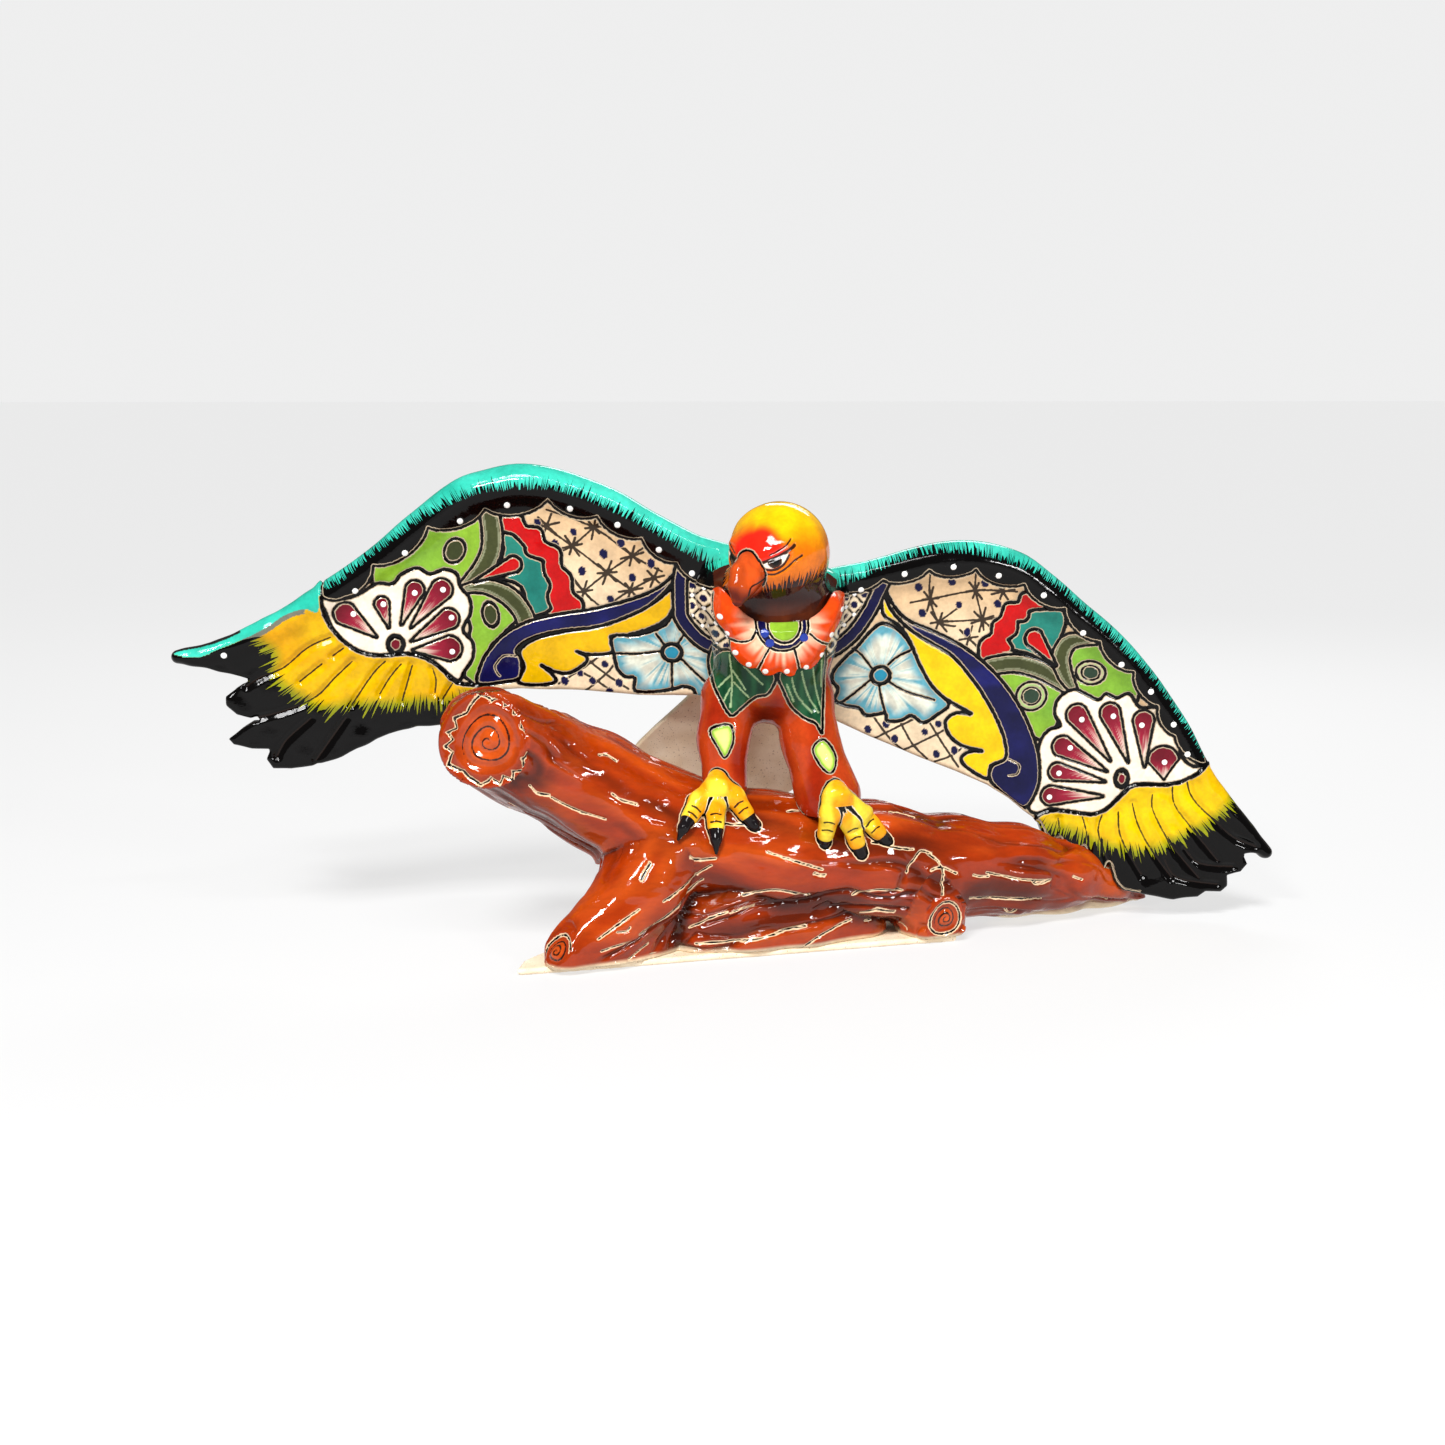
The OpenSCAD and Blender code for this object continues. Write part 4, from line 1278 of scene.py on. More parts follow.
def paint_flower(sheet, side):
    """The blue flower, brushed outwards from its eye."""
    f = FACE[side]
    c = f["flower_eye"]
    s = sheet.blob(f["flower"], 4)
    angle = np.arctan2(sheet.v - c[1], sheet.u - c[0])
    away = np.hypot(sheet.u - c[0], sheet.v - c[1])
    streak = noise(np.column_stack([angle * 11, away * 0.06, angle * 0]), (1, 1, 1))
    blue = np.clip(step_between(-10, -2.2, s) + step_between(17, 4, away) * (0.4 + 0.7 * streak)
                   + 0.8 * step_between(0.5, 0.8, streak), 0, 1)
    petal = tint(FLOWER, SKY, 0.9 * blue)
    sheet.fill(s, tint(petal, linear(150, 118, 96), 0.3 * step_between(0.55, 0.8, 1 - streak)))
    for line in f["flower_lines"]:
        sheet.stroke(sheet.curve(line, 4), 0.7)
    sheet.fill(sheet.disc(c, 6.2, 5.6), FLOWER_EYE, half=1.2)


def paint_swoosh(sheet, side, p):
    """The long navy scroll with its curl."""
    navy = tint(NAVY, linear(24, 26, 92), noise(p, (16, 16, 6)) ** 2)
    sheet.fill(sheet.blob(FACE[side]["swoosh"], 4), navy)
    sheet.stroke(sheet.curve(FACE[side]["curl"]), 0.35)


def hanging_band(sheet, side):
    """Signed distance to the band along the rolled edge, above its line of hanging arcs."""
    cusps = FACE[side]["cusps"]
    return sheet.line(scallop_line(cusps, 0.17) + [(cusps[-1][0], HIGH), (cusps[0][0], HIGH)], closed=True)


def paint_rolled_edge(sheet, wing, teal):
    """Teal along the roll, brushed into the black band below it."""
    band = hanging_band(sheet, wing.side)
    sheet.fill(band, NIGHT, half=0.8)
    above = wing_above(sheet, FACE[wing.side]["black_top"])
    lit = (above > 0) & (band < 0)
    sheet.col[lit] = teal[lit]
    sheet.run = wing.run(sheet.u, sheet.v)
    sheet.dark = np.where(band < 0, 3.2 - above, NO_HATCH)


class Feathers:
    """Where the flight feathers' features lie, for each point of a wing."""

    def __init__(self, wing, sheet):
        f = FACE[wing.side]
        ragged = [(wing.far, 400), *spline(f["ragged"], 4), (0, -300), (wing.far, -300)]
        self.zone = wing.feather_zone(sheet)
        self.on = self.zone < 0
        self.black_depth = -sheet.line(ragged, closed=True, margin=700)
        m = f["fan_middle"]
        self.turn = np.arctan2(sheet.u - m[0], m[1] - sheet.v) * 80
        self.along = np.hypot(sheet.u - m[0], sheet.v - m[1])
        self.groove = np.full(len(sheet.u), FAR)
        for line in f["grooves"]:
            self.groove = np.minimum(self.groove, sheet.curve(line, 4))


def paint_feathers(sheet, side, feathers, p):
    """Yellow feathers dipped in ragged black, greenish where the two meet, with grooves between them."""
    on = feathers.on
    yellow = FACE[side]["yellow"]
    mottled = step_between(0.45, 0.9, noise(p, (34, 34, 14)))
    sheet.fill(feathers.zone, tint(yellow, yellow * vec(0.98, 0.8, 0.7), mottled), half=1.3)
    meets = 0.75 * step_between(-9, 1, feathers.black_depth[on])
    sheet.col[on] = tint(sheet.col[on], linear(90, 130, 20), meets)
    sheet.run[on] = feathers.turn[on]
    sheet.dark[on] = feathers.black_depth[on]
    sheet.scratch(np.where(on, feathers.groove, FAR), 0.35)


def paint_teal_tip(sheet, feathers, teal):
    """The teal runs out over the first feather of the left wing, to its tip."""
    s = wing_above(sheet, FACE["left"]["teal_tip"])
    lead = feathers.on & (s > 0)
    sheet.col[lead] = teal[lead]
    sheet.dark[lead] = NO_HATCH
    sheet.ink[lead] = FAR
    below = feathers.on & (s > -3) & (s <= 0) & (sheet.u < -285) & (sheet.u > -325)
    sheet.col[below] = linear(110, 110, 96)


def outline_lobes(sheet, wing, feathers):
    """The right wing's lower feathers lie on the log with rounded, pale-edged ends."""
    rim = wing.chart.read(wing.inside, sheet.u, sheet.v)
    lobe = feathers.on & (sheet.u < 262) & (sheet.v < 72) & (rim > -5)
    sheet.ink[lobe] = np.minimum(sheet.ink[lobe], np.abs(rim[lobe] + 1.8) - 0.1)


def paint_cut_edges(sheet, feathers, n, from_roll):
    """The slab's cut edges: bare cream clay round the panel, black glaze round the feathers."""
    cut = (np.abs(n[:, 1]) < 0.55) & (from_roll > 16) & ~feathers.on
    sheet.col[cut] = linear(226, 204, 172)
    sheet.ink[cut] = FAR
    sheet.dot[cut] = FAR
    edge = (np.abs(n[:, 1]) < 0.6) & feathers.on & (feathers.black_depth > 4)
    sheet.col[edge] = linear(34, 30, 28)
    sheet.dark[edge] = -4


def wing_relief(sheet, feathers, p, from_roll):
    """Cut outlines and grooves, raised dots and feathers, and an uneven surface."""
    lift = -0.7 * (1 - step_between(-0.6, 1.0, sheet.ink)) * (from_roll > 8)
    lift -= 1.8 * np.where(feathers.on, 1 - step_between(0.2, 4.2, feathers.groove), 0)
    barbs = noise(np.column_stack([feathers.turn, feathers.along * 0.1, p[:, 1] * 0.1]), (7, 1, 1))
    lift += np.where(feathers.on, 1.6 * (barbs - 0.5), 0)
    lift += 0.7 * (1 - step_between(-0.8, 0.4, sheet.dot))
    lift += 1.0 * step_between(6, 0, -feathers.zone) * feathers.on
    return lift + 0.9 * (noise(p, (22, 22, 22)) - 0.5)


def paint_wing(wing, p, n):
    """Paints one wing, each shape over the ones before."""
    side = wing.side
    sheet = Sheet(p[:, 0], p[:, 2], CREAM)
    teal = tint(linear(30, 168, 144), linear(72, 212, 188), noise(p, (40, 40, 12)))
    from_roll = wing.chart.read(wing.away, sheet.u, sheet.v)
    paint_starred_field(sheet, wing)
    paint_fans(sheet, side, p)
    paint_shell(sheet, side)
    paint_acanthus(sheet, side)
    paint_flower(sheet, side)
    paint_swoosh(sheet, side, p)
    paint_shoulder(sheet, side)
    paint_leaves(sheet, p)
    paint_rolled_edge(sheet, wing, teal)
    feathers = Feathers(wing, sheet)
    paint_feathers(sheet, side, feathers, p)
    if side == "left":
        paint_teal_tip(sheet, feathers, teal)
    else:
        outline_lobes(sheet, wing, feathers)
    sheet.white_dots(FACE[side]["dots"], 1.9)
    paint_cut_edges(sheet, feathers, n, from_roll)
    return sheet.layers(wing_relief(sheet, feathers, p, from_roll))


def wing_above(sheet, line):
    """How far each point is above a line that runs from left to right."""
    pts = spline(line, 4)
    d = np.abs(sheet.line(pts, margin=500))
    level = np.interp(sheet.u, pts[:, 0], pts[:, 1])
    return np.where(sheet.v > level, d, -d)


def paint_shoulder(sheet, side):
    """The spotted band at the shoulder, edged with navy: spots, crossed lines and white dots in a lattice."""
    inward = 30 if side == "left" else -10
    edge = spline(FACE[side]["shoulder"], 5)
    s = sheet.line([(inward, 262), *edge, (inward, 150)], closed=True, margin=200)
    sheet.fill(s, CREAM)
    inner = s + 9
    sheet.fill(np.maximum(s, -inner), NAVY, half=0.9)
    inside = inner < -1.5
    diagonals = (sheet.u + sheet.v, sheet.u - sheet.v)
    cell = 13.0

    def from_nearest(shift):
        return [((w / cell + shift) % 1 - 0.5) * cell for w in diagonals]

    for d in from_nearest(0.5):
        sheet.ink[inside] = np.minimum(sheet.ink[inside], np.abs(d[inside]) / DIAGONAL - 0.45)
    spot = np.hypot(*from_nearest(0)) / DIAGONAL - 2.3
    sheet.col[inside & (spot < 0)] = NAVY
    cross = np.hypot(*from_nearest(0.5)) / DIAGONAL - 1.3
    sheet.dot[inside] = np.minimum(sheet.dot[inside], cross[inside])


def paint_leaves(sheet, p):
    """The two leaves under the collar; they lie across the breast and the wing roots."""
    front = p[:, 1] < 18
    for outline, veins in LEAVES:
        s = np.where(front, sheet.blob(outline), OUTSIDE)
        green = tint(linear(10, 44, 28), linear(34, 92, 56), noise(p, (3, 9, 12)))
        sheet.fill(s, green, half=0.8)
        for vein in veins:
            pale = (sheet.curve(vein) < 0.5) & (s < -0.5)
            sheet.col[pale] = linear(150, 176, 130)


def build_wing(side):
    wing = Wing(side)
    mesh = solid("wing_" + side, wing.field, wing.lo, wing.hi, 1.5)
    parts = [("wing_%s_panel" % side, PAINTED, "panel_glaze"),
             ("wing_%s_coil" % side, TEAL_GLAZE, "teal_glaze"),
             ("wing_%s_feathers" % side, FEATHER_GLAZE, "feather_glaze")]
    pieces(mesh, lambda p, n: paint_wing(wing, p, n), wing.share, parts, 2.0)


# ---------------------------------------------------------------- the bird

# Each foot's toes, from left to right, by their three knuckles
TOES = {
    "left": [[(-26, -45, 109), (-37, -48, 99), (-43, -56, 91)],
             [(-26, -46, 108), (-27, -48, 96), (-27, -54, 85)],
             [(-25, -45, 109), (-15, -45, 101), (-8, -47, 91)]],
    "right": [[(46, -52, 103), (44, -53, 91), (42, -47, 77)],
              [(48, -52, 102), (57, -47, 85), (62, -44, 71)],
              [(50, -52, 103), (67, -42, 87), (76, -39, 76)]],
}
LIMES = [[(-30, 141), (-24, 145), (-17, 145), (-15, 138), (-17, 130), (-21, 125), (-25, 131)],
         [(34, 129), (36, 134), (41, 136), (46, 131), (49, 124), (47, 117), (43, 116), (38, 121)]]
LEAVES = [                      # each leaf's outline and its veins
    ([(-20, 193), (-28, 184), (-28, 172), (-24, 162), (-17, 151), (-10, 155), (-2, 163), (6, 166), (10, 178),
      (2, 190)],
     [[(-18, 190), (-16, 172), (-17, 156)], [(-17, 176), (-24, 168)], [(-16, 180), (-8, 168)],
      [(-17, 168), (-21, 160)], [(-15, 172), (-6, 163)], [(-10, 184), (2, 172)]]),
    ([(12, 180), (15, 168), (21, 156), (29, 149), (36, 146), (40, 140), (41, 152), (42, 172), (41, 194),
      (28, 194)],
     [[(20, 176), (24, 164), (34, 152)], [(26, 180), (31, 164), (38, 152)], [(33, 184), (36, 168), (40, 154)],
      [(17, 172), (22, 160)], [(39, 186), (40, 168)]]),
]
COLLAR_OUT = [(-28, 227), (-29, 219), (-27, 210), (-20, 202), (-19, 194), (-14, 186), (-7, 182), (-2, 182),
    (2, 178), (8, 178), (12, 180), (17, 177), (22, 178), (24, 182), (31, 181), (37, 186), (42, 195),
    (47, 203), (53, 212), (57, 223)]
COLLAR_IN = [(48, 227), (39, 219), (29, 213.5), (12, 212), (-2, 213), (-11, 218), (-18, 226), (-23, 230)]
COLLAR_DIVISIONS = [[(-20, 201), (-12, 200), (-6, 202), (-3, 208)], [(-2, 181), (1, 189), (5, 197)],
                    [(24, 182), (22, 190), (20, 197)], [(42, 197), (36, 200), (30, 205)]]
COLLAR_DOTS = [(-24, 214), (-20, 204), (-15, 193), (-7, 186), (3, 182), (16, 182), (28, 184), (38, 191),
    (44, 203), (52, 217)]
# The eye, in mm of arc round the head from the beak, and up
EYE_WHITE = [(4, 4.6), (10, 6.2), (17, 8), (22.6, 9.6), (22.2, 6.6), (18.6, 3.6), (14, 1.8), (9, 2.2),
    (5.5, 3.4)]
EYE_LINES = (([(2.5, 3.6), (9, 6.2), (17, 8.2), (24, 10.6), (28, 12)], 0.85),
             ([(3, 3.8), (8, 1.8), (14, 0.8), (19, 3), (23, 7.6)], 0.55),
             ([(4, 1.4), (9, -1.2), (14, -2), (20, 0.4), (25, 3.4), (31, 5)], 0.4),
             ([(12, 9.6), (20, 12.6), (27, 16)], 0.3))


def outline_field(points):
    """A field that reads the distance to a smooth outline from a chart."""
    line = spline(points, 4, closed=True)
    chart = Chart(np.floor(line.min(0) - 12), np.ceil(line.max(0) + 12))
    values = Sheet(chart.u, chart.v, CREAM).line(line, closed=True, margin=80)
    return lambda x, z: chart.read(values, x, z)


collar_plan = outline_field(COLLAR_OUT + COLLAR_IN)


def collar_field(p):
    """The collar lies on the breast and flares out towards its scalloped edge."""
    plan = collar_plan(p[:, 0], p[:, 2])
    flare = 5.0 + 3.0 * step_between(0, -7, plan)
    d = smooth_max(torso_field(p) - flare, plan, 2.5)
    d = smooth_max(d, 2.0 - torso_field(p), 1)
    return np.maximum(d, p[:, 1] + 8)


def ground(p):
    """Distance above the log and the legs that the feet lie on."""
    return np.minimum(log_field(p), torso_field(p))


def toe_field(p, toes, r=6.2):
    """Three toes, thickest at the middle knuckle, that meet at the ankle and lie on the log."""
    d = None
    for joints in toes:
        balls = [(*j, r + (0.6 if i == 1 else 0) - 0.4 * i) for i, j in enumerate(joints)]
        s = rope(p, balls, 3)
        d = s if d is None else smooth_min(d, s, 2.5)
    ankle = (*np.mean([t[0] for t in toes], axis=0), r + 2)
    d = smooth_min(d, capsule(p, ankle, (ankle[0], ankle[1] + 3, ankle[2] + 4, r - 1)), 4)
    return smooth_max(d, ground(p) - 10.5, 3)


def claw_field(p, toes):
    """A hooked claw past the end of each toe."""
    d = None
    for joints in toes:
        last, before = vec(*joints[2]), vec(*joints[1])
        aim = (last - before) / np.linalg.norm(last - before)
        bend = aim + vec(0, 0.25, -0.25)
        tip = last + aim * 7 + bend * 9
        s = rope(p, [(*(last + aim * 2), 4.8), (*(last + aim * 9), 3.4), (*tip, 1.0)], 2)
        d = s if d is None else np.minimum(d, s)
    return d


def beak_upper_field(p):
    """The hooked upper beak with a ridge along its top."""
    d = rope(p, [(-4, -58, 246, 10), (-8, -67, 240, 7.8), (-12, -73, 233, 5.2), (-14.5, -75, 226, 2.2)], 6)
    ridge = [(-9, -65, 250, 4.6), (-14, -72, 244, 4.2), (-16.5, -76, 236, 3.2), (-15.5, -75, 227, 1.6)]
    return smooth_min(d, rope(p, ridge, 5), 5)


def beak_lower_field(p):
    return rope(p, [(-2, -57, 238, 8.5), (-6, -63, 233, 5.2), (-8, -67, 230, 3)], 3)


def through_tail(p):
    """Distance from the middle of the tail's leaning slab."""
    lean = math.radians(28)
    return (p[:, 1] - 24) * math.cos(lean) + (p[:, 2] - 178) * math.sin(lean)


TAIL = [(-22, 172), (-42, 150), (-80, 108), (-72, 84), (-38, 72), (-8, 68), (18, 72), (38, 86), (44, 108),
    (34, 146), (24, 172)]
tail_plan = outline_field(TAIL)


def tail_field(p):
    return rounded(tail_plan(p[:, 0], p[:, 2]) + 2, np.abs(through_tail(p)) - 4.5 + 2, 2)


BASE = [(-150, -86), (129, -26), (135, 6), (108, 45), (45, 60), (-10, 58), (-70, 33), (-110, -12),
    (-146, -66)]


def base_plan(p):
    """Signed distance to the outline of the base slab, seen from above."""
    return Sheet(p[:, 0], p[:, 1], CREAM).line(spline(BASE, 1, closed=True), closed=True, margin=400)


def base_field(p):
    """The base slab, with an edge that wavers as cut clay does."""
    edge = base_plan(p) + 1.0 + 1.2 * (noise(p, (30, 30, 60)) - 0.5)
    return rounded(edge, np.abs(p[:, 2] - BASE_T / 2) - BASE_T / 2 + 1.0, 1.0)


def head_place(p):
    """Round the head from its beak, in mm of arc (the same on both sides), and up."""
    q = p - vec(*SKULL)
    return np.abs(np.arctan2(q @ HEAD_ASIDE, q @ HEAD_AHEAD)) * SKULL_R, q @ HEAD_UP


def paint_eye(sheet):
    """The white of the eye with iris and pupil, and the lines of lids and brow."""
    white = sheet.line(EYE_WHITE, closed=True)
    sheet.col[white < 0] = PALE
    for at, ru, rv, colour in (((14.4, 5.8), 3.7, 3.5, linear(44, 22, 10)), ((14.8, 6), 2.1, 2.3, NIGHT)):
        sheet.col[np.maximum(sheet.disc(at, ru, rv), white) < 0.2] = colour
    for line, half in EYE_LINES:
        sheet.scratch(sheet.curve(line), half)
    return white


def paint_head(p, n):
    """Yellow crown, orange cheeks and red brow over a brown neck, with an eye on both sides."""
    round_head, up = head_place(p)
    z = p[:, 2]
    sheet = Sheet(round_head, up, ORANGE)
    cloud = noise(p, (14, 14, 14)) - 0.5
    crown = step_between(254, 276, z + 8 * cloud)
    sheet.col = tint(linear(222, 112, 6), linear(246, 188, 4), crown)
    low = step_between(247, 233, z)
    sheet.col = tint(sheet.col, linear(196, 92, 10), 0.8 * low)
    brow = np.hypot(round_head / 24, (up - 12 - 0.2 * round_head) / 13) + 0.6 * cloud
    sheet.col = tint(sheet.col, linear(226, 34, 18), step_between(1.2, 0.6, brow))
    white = paint_eye(sheet)
    # The brown reaches higher behind, where the head meets the shoulders
    sheet.dark = 236 - z + 0.24 * (p[:, 0] - 12) + 0.6 * np.maximum(p[:, 1] + 30, 0)
    sheet.run = np.arctan2(p[:, 0] - SKULL[0], -(p[:, 1] - SKULL[1])) * SKULL_R
    # Below the brushed edge the neck is plain brown with soft streaks
    streak = noise(p, (5, 5, 30)) * step_between(NECK_TOP - 1, NECK_TOP - 13, z)
    brown = tint(NECK_BROWN, NECK_LIGHT, streak)
    sheet.col = tint(sheet.col, brown, step_between(NECK_TOP + 3, NECK_TOP + 1, z))
    sheet.dark = np.where(z < NECK_TOP - 2, NO_HATCH, sheet.dark)
    sheet.stroke(np.abs(beak_upper_field(p) - 0.4), 0.7)
    return sheet.layers(-0.5 * (1 - step_between(0, 1, sheet.pen)) + 0.5 * step_between(0.3, -0.5, white))


def paint_beak(p, n):
    """Orange-brown, darker at the tip and, as painted shade, along the downward-facing lower edge, with a
    thin line at the mouth.
    """
    sheet = Sheet(p[:, 0], p[:, 2], ORANGE)
    tip = step_between(238, 224, p[:, 2])
    # Painted shade where the beak faces downwards
    under = step_between(0.2, -0.8, n[:, 2])
    dark = np.clip(0.5 * tip + 0.6 * under + 0.7 * noise(p, (4, 4, 20)) - 0.2, 0, 1)
    sheet.col = tint(linear(204, 78, 26), linear(96, 26, 10), dark)
    sheet.scratch(sheet.curve([(3, 240), (-3, 237), (-7, 235), (-8.5, 230)]), 0.35)
    return sheet.layers()


def part_of_neck(sheet):
    """The throat that shows inside the collar."""
    above = sheet.line([(-24, 250), *spline(COLLAR_IN[::-1], 3), (54, 250)], closed=True)
    return (above < 3) & (sheet.v > 205)


def scratch_back_feathers(sheet, p):
    """Rows of simple scratched feathers down the back."""
    x, y, z = p.T
    row = np.floor(z / 11)
    up = z - 11 * row
    across = (x + 6.5 * (row % 2)) % 13 - 6.5
    arc = np.abs(np.hypot(across, up * 0.8 - 9) - 6.8)
    sheet.scratch(np.where((y > 16) & (z > 150) & (up < 9), arc, FAR), 0.4)


def paint_wing_roots(sheet, p):
    """The shoulders repeat the wing's edge and spotted band."""
    x, y, z = p.T
    for side, sign in (("left", -1), ("right", 1)):
        part = Sheet(x, z, CREAM)
        paint_shoulder(part, side)
        above = wing_above(part, FACE[side]["black_top"])
        band = hanging_band(part, side)
        part.fill(band, NIGHT, half=0.8)
        part.col[above > 0] = TEAL
        part.dark = np.where(band < 0, 3.2 - above, NO_HATCH)
        part.run = x * 1.0
        on = (sign * (x - BIRD_X) > 22) & (y < 14) & (z > 178) & ((z > 186) | (np.abs(x - BIRD_X) > 34))
        for key in ("col", "ink", "dot", "dark", "run", "pen"):
            getattr(sheet, key)[on] = getattr(part, key)[on]


def paint_torso(p, n):
    """Red-brown body and legs, with the shoulders, throat, leaves and lime patches, and painted shade on the
    front between the legs.
    """
    x, y, z = p.T
    sheet = Sheet(x, z, BODY_RED)
    sheet.col = tint(linear(150, 36, 10), BODY_RED, step_between(0.2, 0.6, noise(p, (12, 12, 30))))
    # Painted shade between the legs, where the body lies in shadow
    between = step_between(15, 0, np.hypot(x - 5, (z - 152) * 0.7)) * (y < -10)
    sheet.col = tint(sheet.col, linear(70, 18, 8), 0.8 * between)
    front = y < -6
    for patch in LIMES:
        s = sheet.blob(patch)
        glow = tint(linear(120, 176, 30), linear(226, 240, 130), step_between(-1, -4, s))
        sheet.fill(np.where(front, s, OUTSIDE), glow, half=0.6)
    scratch_back_feathers(sheet, p)
    paint_wing_roots(sheet, p)
    # The brown of the neck runs down to the collar
    throat = part_of_neck(sheet) & front
    brown = tint(linear(44, 14, 10), NECK_LIGHT, noise(p, (5, 5, 30)))
    sheet.fill(np.where(throat, -1.0, OUTSIDE), brown, half=0)
    paint_leaves(sheet, p)
    sheet.stroke(np.abs(log_field(p) - 1.6), 0.3)
    for toes in TOES.values():
        sheet.ink = np.minimum(sheet.ink, np.where(z < 125, toe_field(p, toes) - 0.9, FAR))
    return sheet.layers(-0.5 * (1 - step_between(-0.4, 0.8, sheet.ink)))


def paint_collar(p, n):
    """Orange petals, pale inside, round a navy and green middle, with white dots along the edge."""
    x, z = p[:, 0], p[:, 2]
    sheet = Sheet(x, z, ORANGE)
    middle = (12, 214)
    away = np.hypot(x - middle[0], (z - middle[1]) * 1.05)
    angle = np.arctan2(z - middle[1], x - middle[0])
    streak = noise(np.column_stack([angle * 12, away * 0.05, angle * 0]), (1, 1, 1))
    inner = step_between(31, 17, away + 12 * (streak - 0.5)) * step_between(224, 208, z)
    sheet.col = tint(linear(226, 70, 14), linear(240, 198, 164), 0.85 * inner)
    for line in COLLAR_DIVISIONS:
        sheet.stroke(sheet.curve(line), 0.6)
    sheet.fill(sheet.disc((13, 211), 16, 16), NAVY, half=0.7)
    sheet.fill(sheet.disc((14, 211), 10, 11), GREEN, half=0.7)
    for spot in ((2, 206), (5, 200), (26, 203)):
        sheet.fill(sheet.disc(spot, 2.6), linear(40, 60, 150), half=0)
    rim = np.abs(sheet.line(spline(COLLAR_OUT, 4)))
    sheet.ink = np.minimum(sheet.ink, np.where(rim < 1.4, rim - 0.6, FAR))
    sheet.white_dots(COLLAR_DOTS, 1.7)
    cut = 1 - step_between(-0.4, 1.4, sheet.ink)
    return sheet.layers(-0.8 * cut + 0.6 * (1 - step_between(-0.6, 0.4, sheet.dot)))


def paint_foot(toes):
    """Yellow toes, outlined where they meet and scored across at two places each."""
    def paint(p, n):
        sheet = Sheet(p[:, 0], p[:, 2], YELLOW)
        light = step_between(0.3, 0.7, noise(p, (7, 7, 12)))
        sheet.col = tint(linear(238, 158, 16), linear(250, 220, 60), light)
        sheet.ink = np.minimum(sheet.ink, ground(p) - 1.0)
        each = [rope(p, [(*j, 6) for j in joints], 2) for joints in toes]
        for a, b in combinations(each, 2):
            between = (np.abs(a - b) - 0.9) + 100 * (p[:, 2] > toes[0][0][2] - 6)
            sheet.ink = np.minimum(sheet.ink, np.where(np.minimum(a, b) < 3, between, FAR))
        for _, knuckle, end in toes:
            for f in (0.35, 0.75):
                at = mix(np.array(knuckle, float), np.array(end, float), f)
                across = vec(end[2] - knuckle[2], knuckle[0] - end[0])
                across /= np.linalg.norm(across)
                middle = vec(at[0], at[2])
                bowed = middle + vec(0, 0.9)
                sheet.scratch(sheet.curve([middle - across * 3.2, bowed, middle + across * 3.2]), 0.35)
        return sheet.layers()
    return paint


def paint_claw(p, n):
    """Plain black."""
    return Sheet(p[:, 0], p[:, 2], linear(22, 18, 20)).layers()


# ---------------------------------------------------------------- put together

BARK_NODES = ("log_front_shell", "log_back_shell", "log_right_taper", "root_left", "root_front", "root_right",
              "root_rear")
SAWN_NODES = ("log_left_sawn_end", "root_left_sawn_end", "root_right_sawn_end")
LOG_PARTS = [(name, BARK_GLAZE, "bark_glaze") for name in BARK_NODES]
LOG_PARTS += [(name, SAWN_GLAZE, "sawn_glaze") for name in SAWN_NODES]
TORSO_PARTS = [("torso_front_shell", PAINTED, "panel_glaze")]
TORSO_PARTS += [(name, PAINTED, "bark_glaze") for name in ("torso_back_shell", "leg_left", "leg_right")]
HEAD_PARTS = [("head_shell", HEAD_GLAZE, "head_glaze"), ("neck_ring", NECK_GLAZE, "neck_glaze")]


def share_log(p):
    """The part of the log that each point belongs to, as its number in LOG_PARTS."""
    label = wood(p)[0]
    middle = np.interp(p[:, 0], [b[0] for b in LOG], [b[1] for b in LOG])
    trunk = np.where(p[:, 0] > 172, 2, np.where(p[:, 1] < middle, 0, 1))
    owner = np.where(label == 0, trunk, label + 2)
    for i, on in enumerate(sawn_faces(p)):
        owner[on] = len(BARK_NODES) + i
    return owner


def share_torso(p):
    """0 breast, 1 back, 2 left leg, 3 right leg."""
    body = rope(p, [BREAST, BELLY, RUMP, BACK, BREAST], 14)
    legs = [rope(p, balls, 8) for balls in LEGS]
    leg = (np.minimum(*legs) < body) & (p[:, 2] < 165)
    return np.where(leg, np.where(legs[0] < legs[1], 2, 3), np.where(p[:, 1] < 2, 0, 1))


def build_log():
    mesh = solid("log", log_field, (-198, -112, 0), (284, 64, 176), 1.9)
    pieces(mesh, paint_wood, share_log, LOG_PARTS, 3.0)
    slab = solid("base", base_field, (-152, -88, 0), (137, 62, 4), 2.0)
    piece("base_slab_clay", slab, BARE, "bare_clay", ["base_slab"])


def build_feet():
    for side, toes in TOES.items():
        joints = np.array(toes).reshape(-1, 3)
        lo, hi = joints.min(0) - 22, joints.max(0) + 16
        foot = solid("foot", lambda p: toe_field(p, toes), lo, hi, 0.9)
        piece("foot_%s_skin" % side, foot, FOOT_GLAZE, "foot_glaze", ["foot_" + side], paint_foot(toes))
        claws = solid("claws", lambda p: claw_field(p, toes), lo, hi, 0.8)
        piece("claws_%s_skin" % side, claws, CLAW_GLAZE, "claw_glaze", ["claws_" + side], paint_claw)


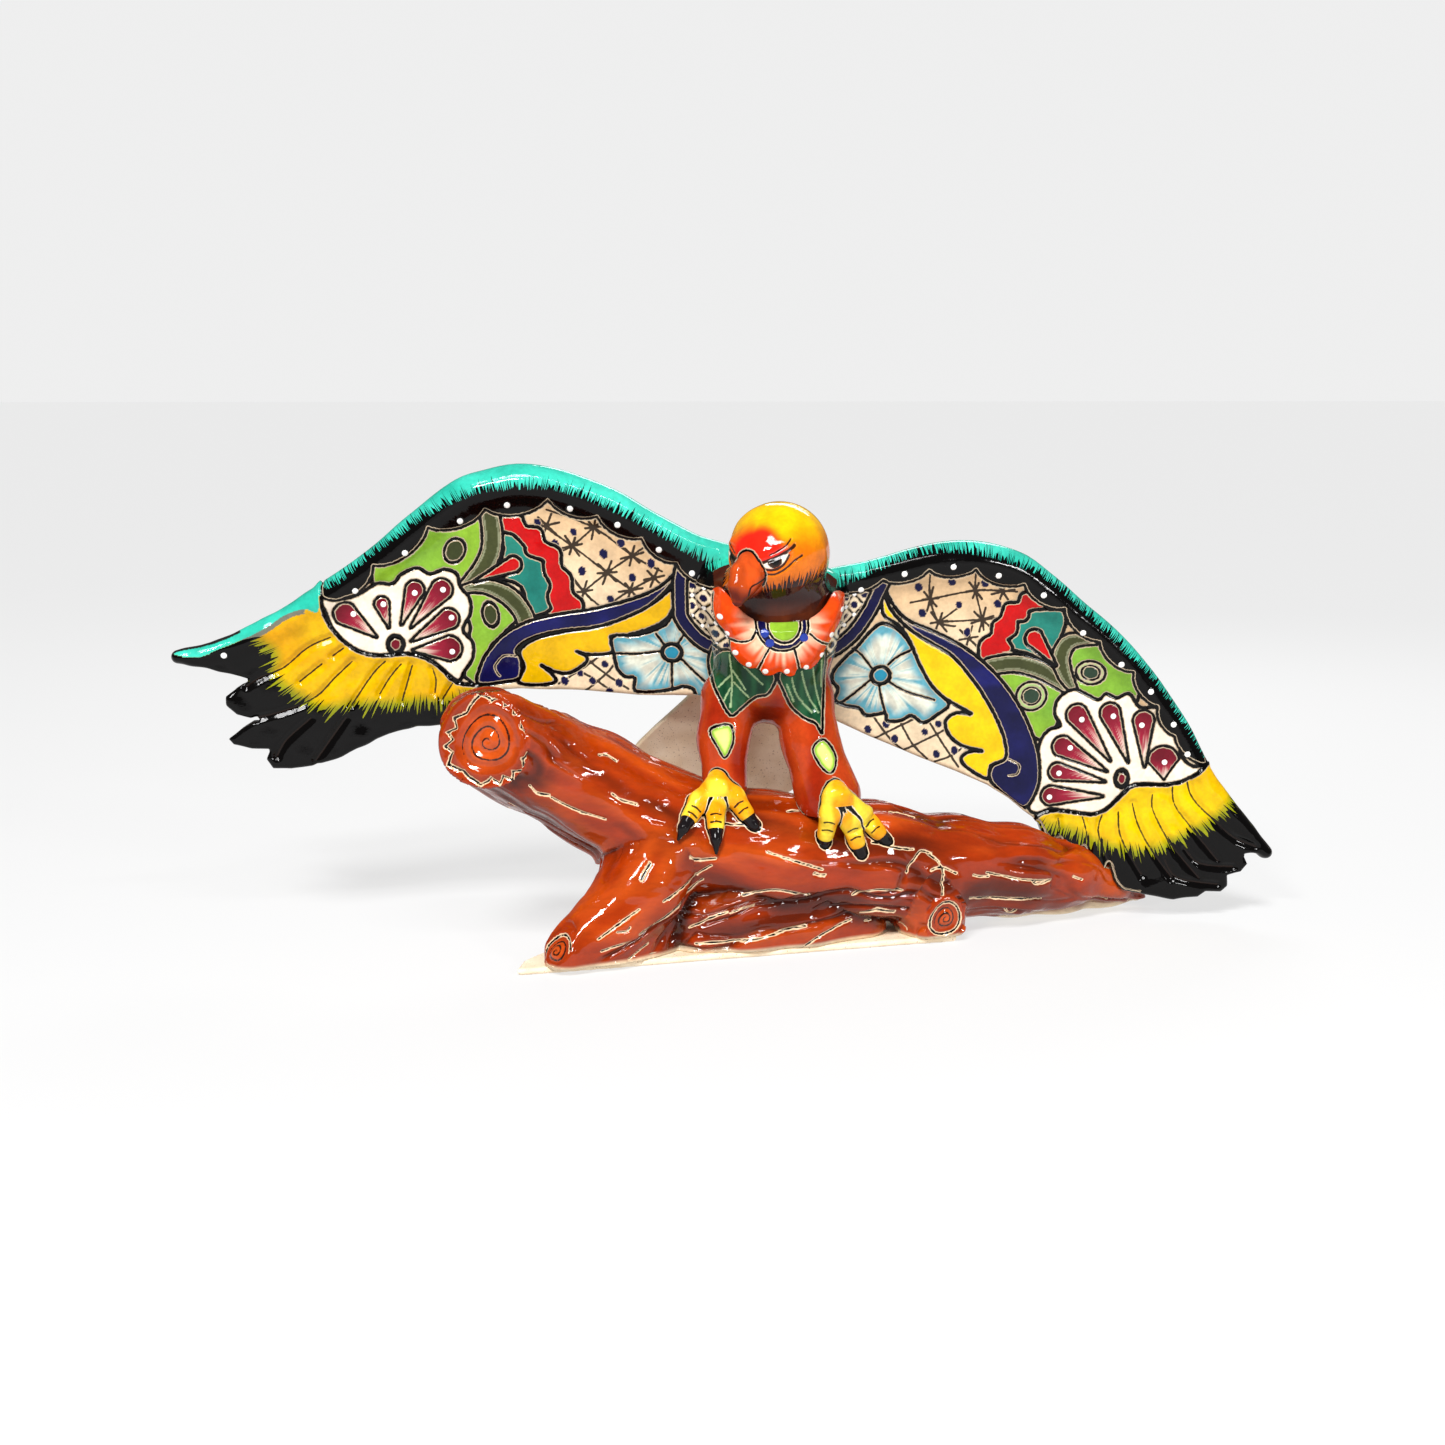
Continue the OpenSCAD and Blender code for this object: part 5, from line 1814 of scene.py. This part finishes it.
def build_bird():
    torso = solid("torso", torso_field, (-48, -56, 90), (74, 52, 256), 1.5)
    pieces(torso, paint_torso, share_torso, TORSO_PARTS, 3.0)
    head = solid("head", head_and_neck_field, (-30, -76, 206), (56, 22, 286), 1.0)
    pieces(head, paint_head, lambda p: (p[:, 2] < NECK_TOP).astype(int), HEAD_PARTS, 2.5)
    for name, field, lo, hi, step, material, slot, paint in (
            ("beak_upper", beak_upper_field, (-30, -84, 220), (14, -44, 262), 1.0,
             BEAK_GLAZE, "beak_glaze", paint_beak),
            ("beak_lower", beak_lower_field, (-18, -74, 222), (10, -44, 250), 1.0,
             BEAK_GLAZE, "beak_glaze", paint_beak),
            ("petal_collar", collar_field, (-34, -66, 172), (62, -6, 240), 0.9,
             COLLAR_GLAZE, "collar_glaze", paint_collar),
            ("tail_fan", tail_field, (-84, 8, 66), (78, 92, 176), 1.6, BARE, "bare_clay", None)):
        piece(name + "_skin", solid(name, field, lo, hi, step), material, slot, [name], paint)
    build_feet()


build_log()
build_bird()
build_wing("left")
build_wing("right")

# ---------------------------------------------------------------- floor, lights and camera

def area_light(name, at, aim, size, power):
    """A rectangular lamp that looks from one point to another."""
    data = bpy.data.lights.new(name, "AREA")
    data.shape = "RECTANGLE"
    data.size, data.size_y = size
    data.energy = power
    obj = new_object(name, data)
    obj.location = at
    obj.rotation_euler = (Vector(aim) - Vector(at)).to_track_quat("-Z", "Y").to_euler()


def build_floor():
    """A wide pale floor that glows a little, so that it stays white in the distance."""
    side = 30.0
    mesh = bpy.data.meshes.new("floor")
    corners = [(-side, -side, 0), (side, -side, 0), (side, side, 0), (-side, side, 0)]
    mesh.from_pydata(corners, [], [(0, 1, 2, 3)])
    m = bpy.data.materials.new("floor")
    m.use_nodes = True
    shader = m.node_tree.nodes["Principled BSDF"]
    for key, value in (("Base Color", (0.26, 0.26, 0.26, 1)), ("Roughness", 0.9), ("Specular IOR Level", 0.1),
                       ("Emission Color", (1, 1, 1, 1)), ("Emission Strength", 0.64)):
        shader.inputs[key].default_value = value
    mesh.materials.append(m)
    new_object("floor", mesh)


def build_world():
    """Even white surroundings, brighter to the camera than to the object."""
    world = bpy.data.worlds.new("studio")
    world.use_nodes = True
    nt = world.node_tree
    seen = node(nt, "LightPath").outputs["Is Camera Ray"]
    strength = node(nt, "MapRange", {0: seen, 3: 0.15, 4: 0.86}).outputs[0]
    nt.links.new(strength, nt.nodes["Background"].inputs["Strength"])
    nt.nodes["Background"].inputs["Color"].default_value = (1, 1, 1, 1)
    bpy.context.scene.world = world
    bpy.context.scene.view_settings.view_transform = "Standard"


def build_studio():
    """Floor, surroundings, a soft ceiling light and four small lamps for the glints."""
    build_floor()
    build_world()
    sun = bpy.data.lights.new("ceiling", "SUN")
    sun.energy = 2.3
    sun.angle = math.radians(16)
    ceiling = new_object("ceiling", sun)
    ceiling.rotation_euler = (math.radians(38), math.radians(-14), 0)
    area_light("key", (-0.5, -1.1, 1.0), (0, 0, 0.12), (0.26, 0.12), 10)
    area_light("fill", (0.8, -1.1, 0.5), (0, 0, 0.12), (0.22, 0.08), 5)
    area_light("glint", (0.15, -0.9, 1.3), (0, 0, 0.1), (0.5, 0.06), 4)
    area_light("back", (0.3, 1.2, 1.0), (0, 0, 0.15), (0.8, 0.4), 6)


def build_camera():
    """A little left of straight on, and ten degrees down."""
    azimuth, elevation, distance = math.radians(-3), math.radians(10), 1.25
    aim = Vector((-0.020, 0.0, 0.140))
    back = Vector((math.sin(azimuth) * math.cos(elevation), -math.cos(azimuth) * math.cos(elevation),
                   math.sin(elevation)))
    data = bpy.data.cameras.new("camera")
    data.lens = 48.58
    data.sensor_width = 36
    obj = new_object("camera", data)
    obj.location = aim + back * distance
    obj.rotation_euler = (-back).to_track_quat("-Z", "Y").to_euler()
    bpy.context.scene.camera = obj


build_studio()
build_camera()
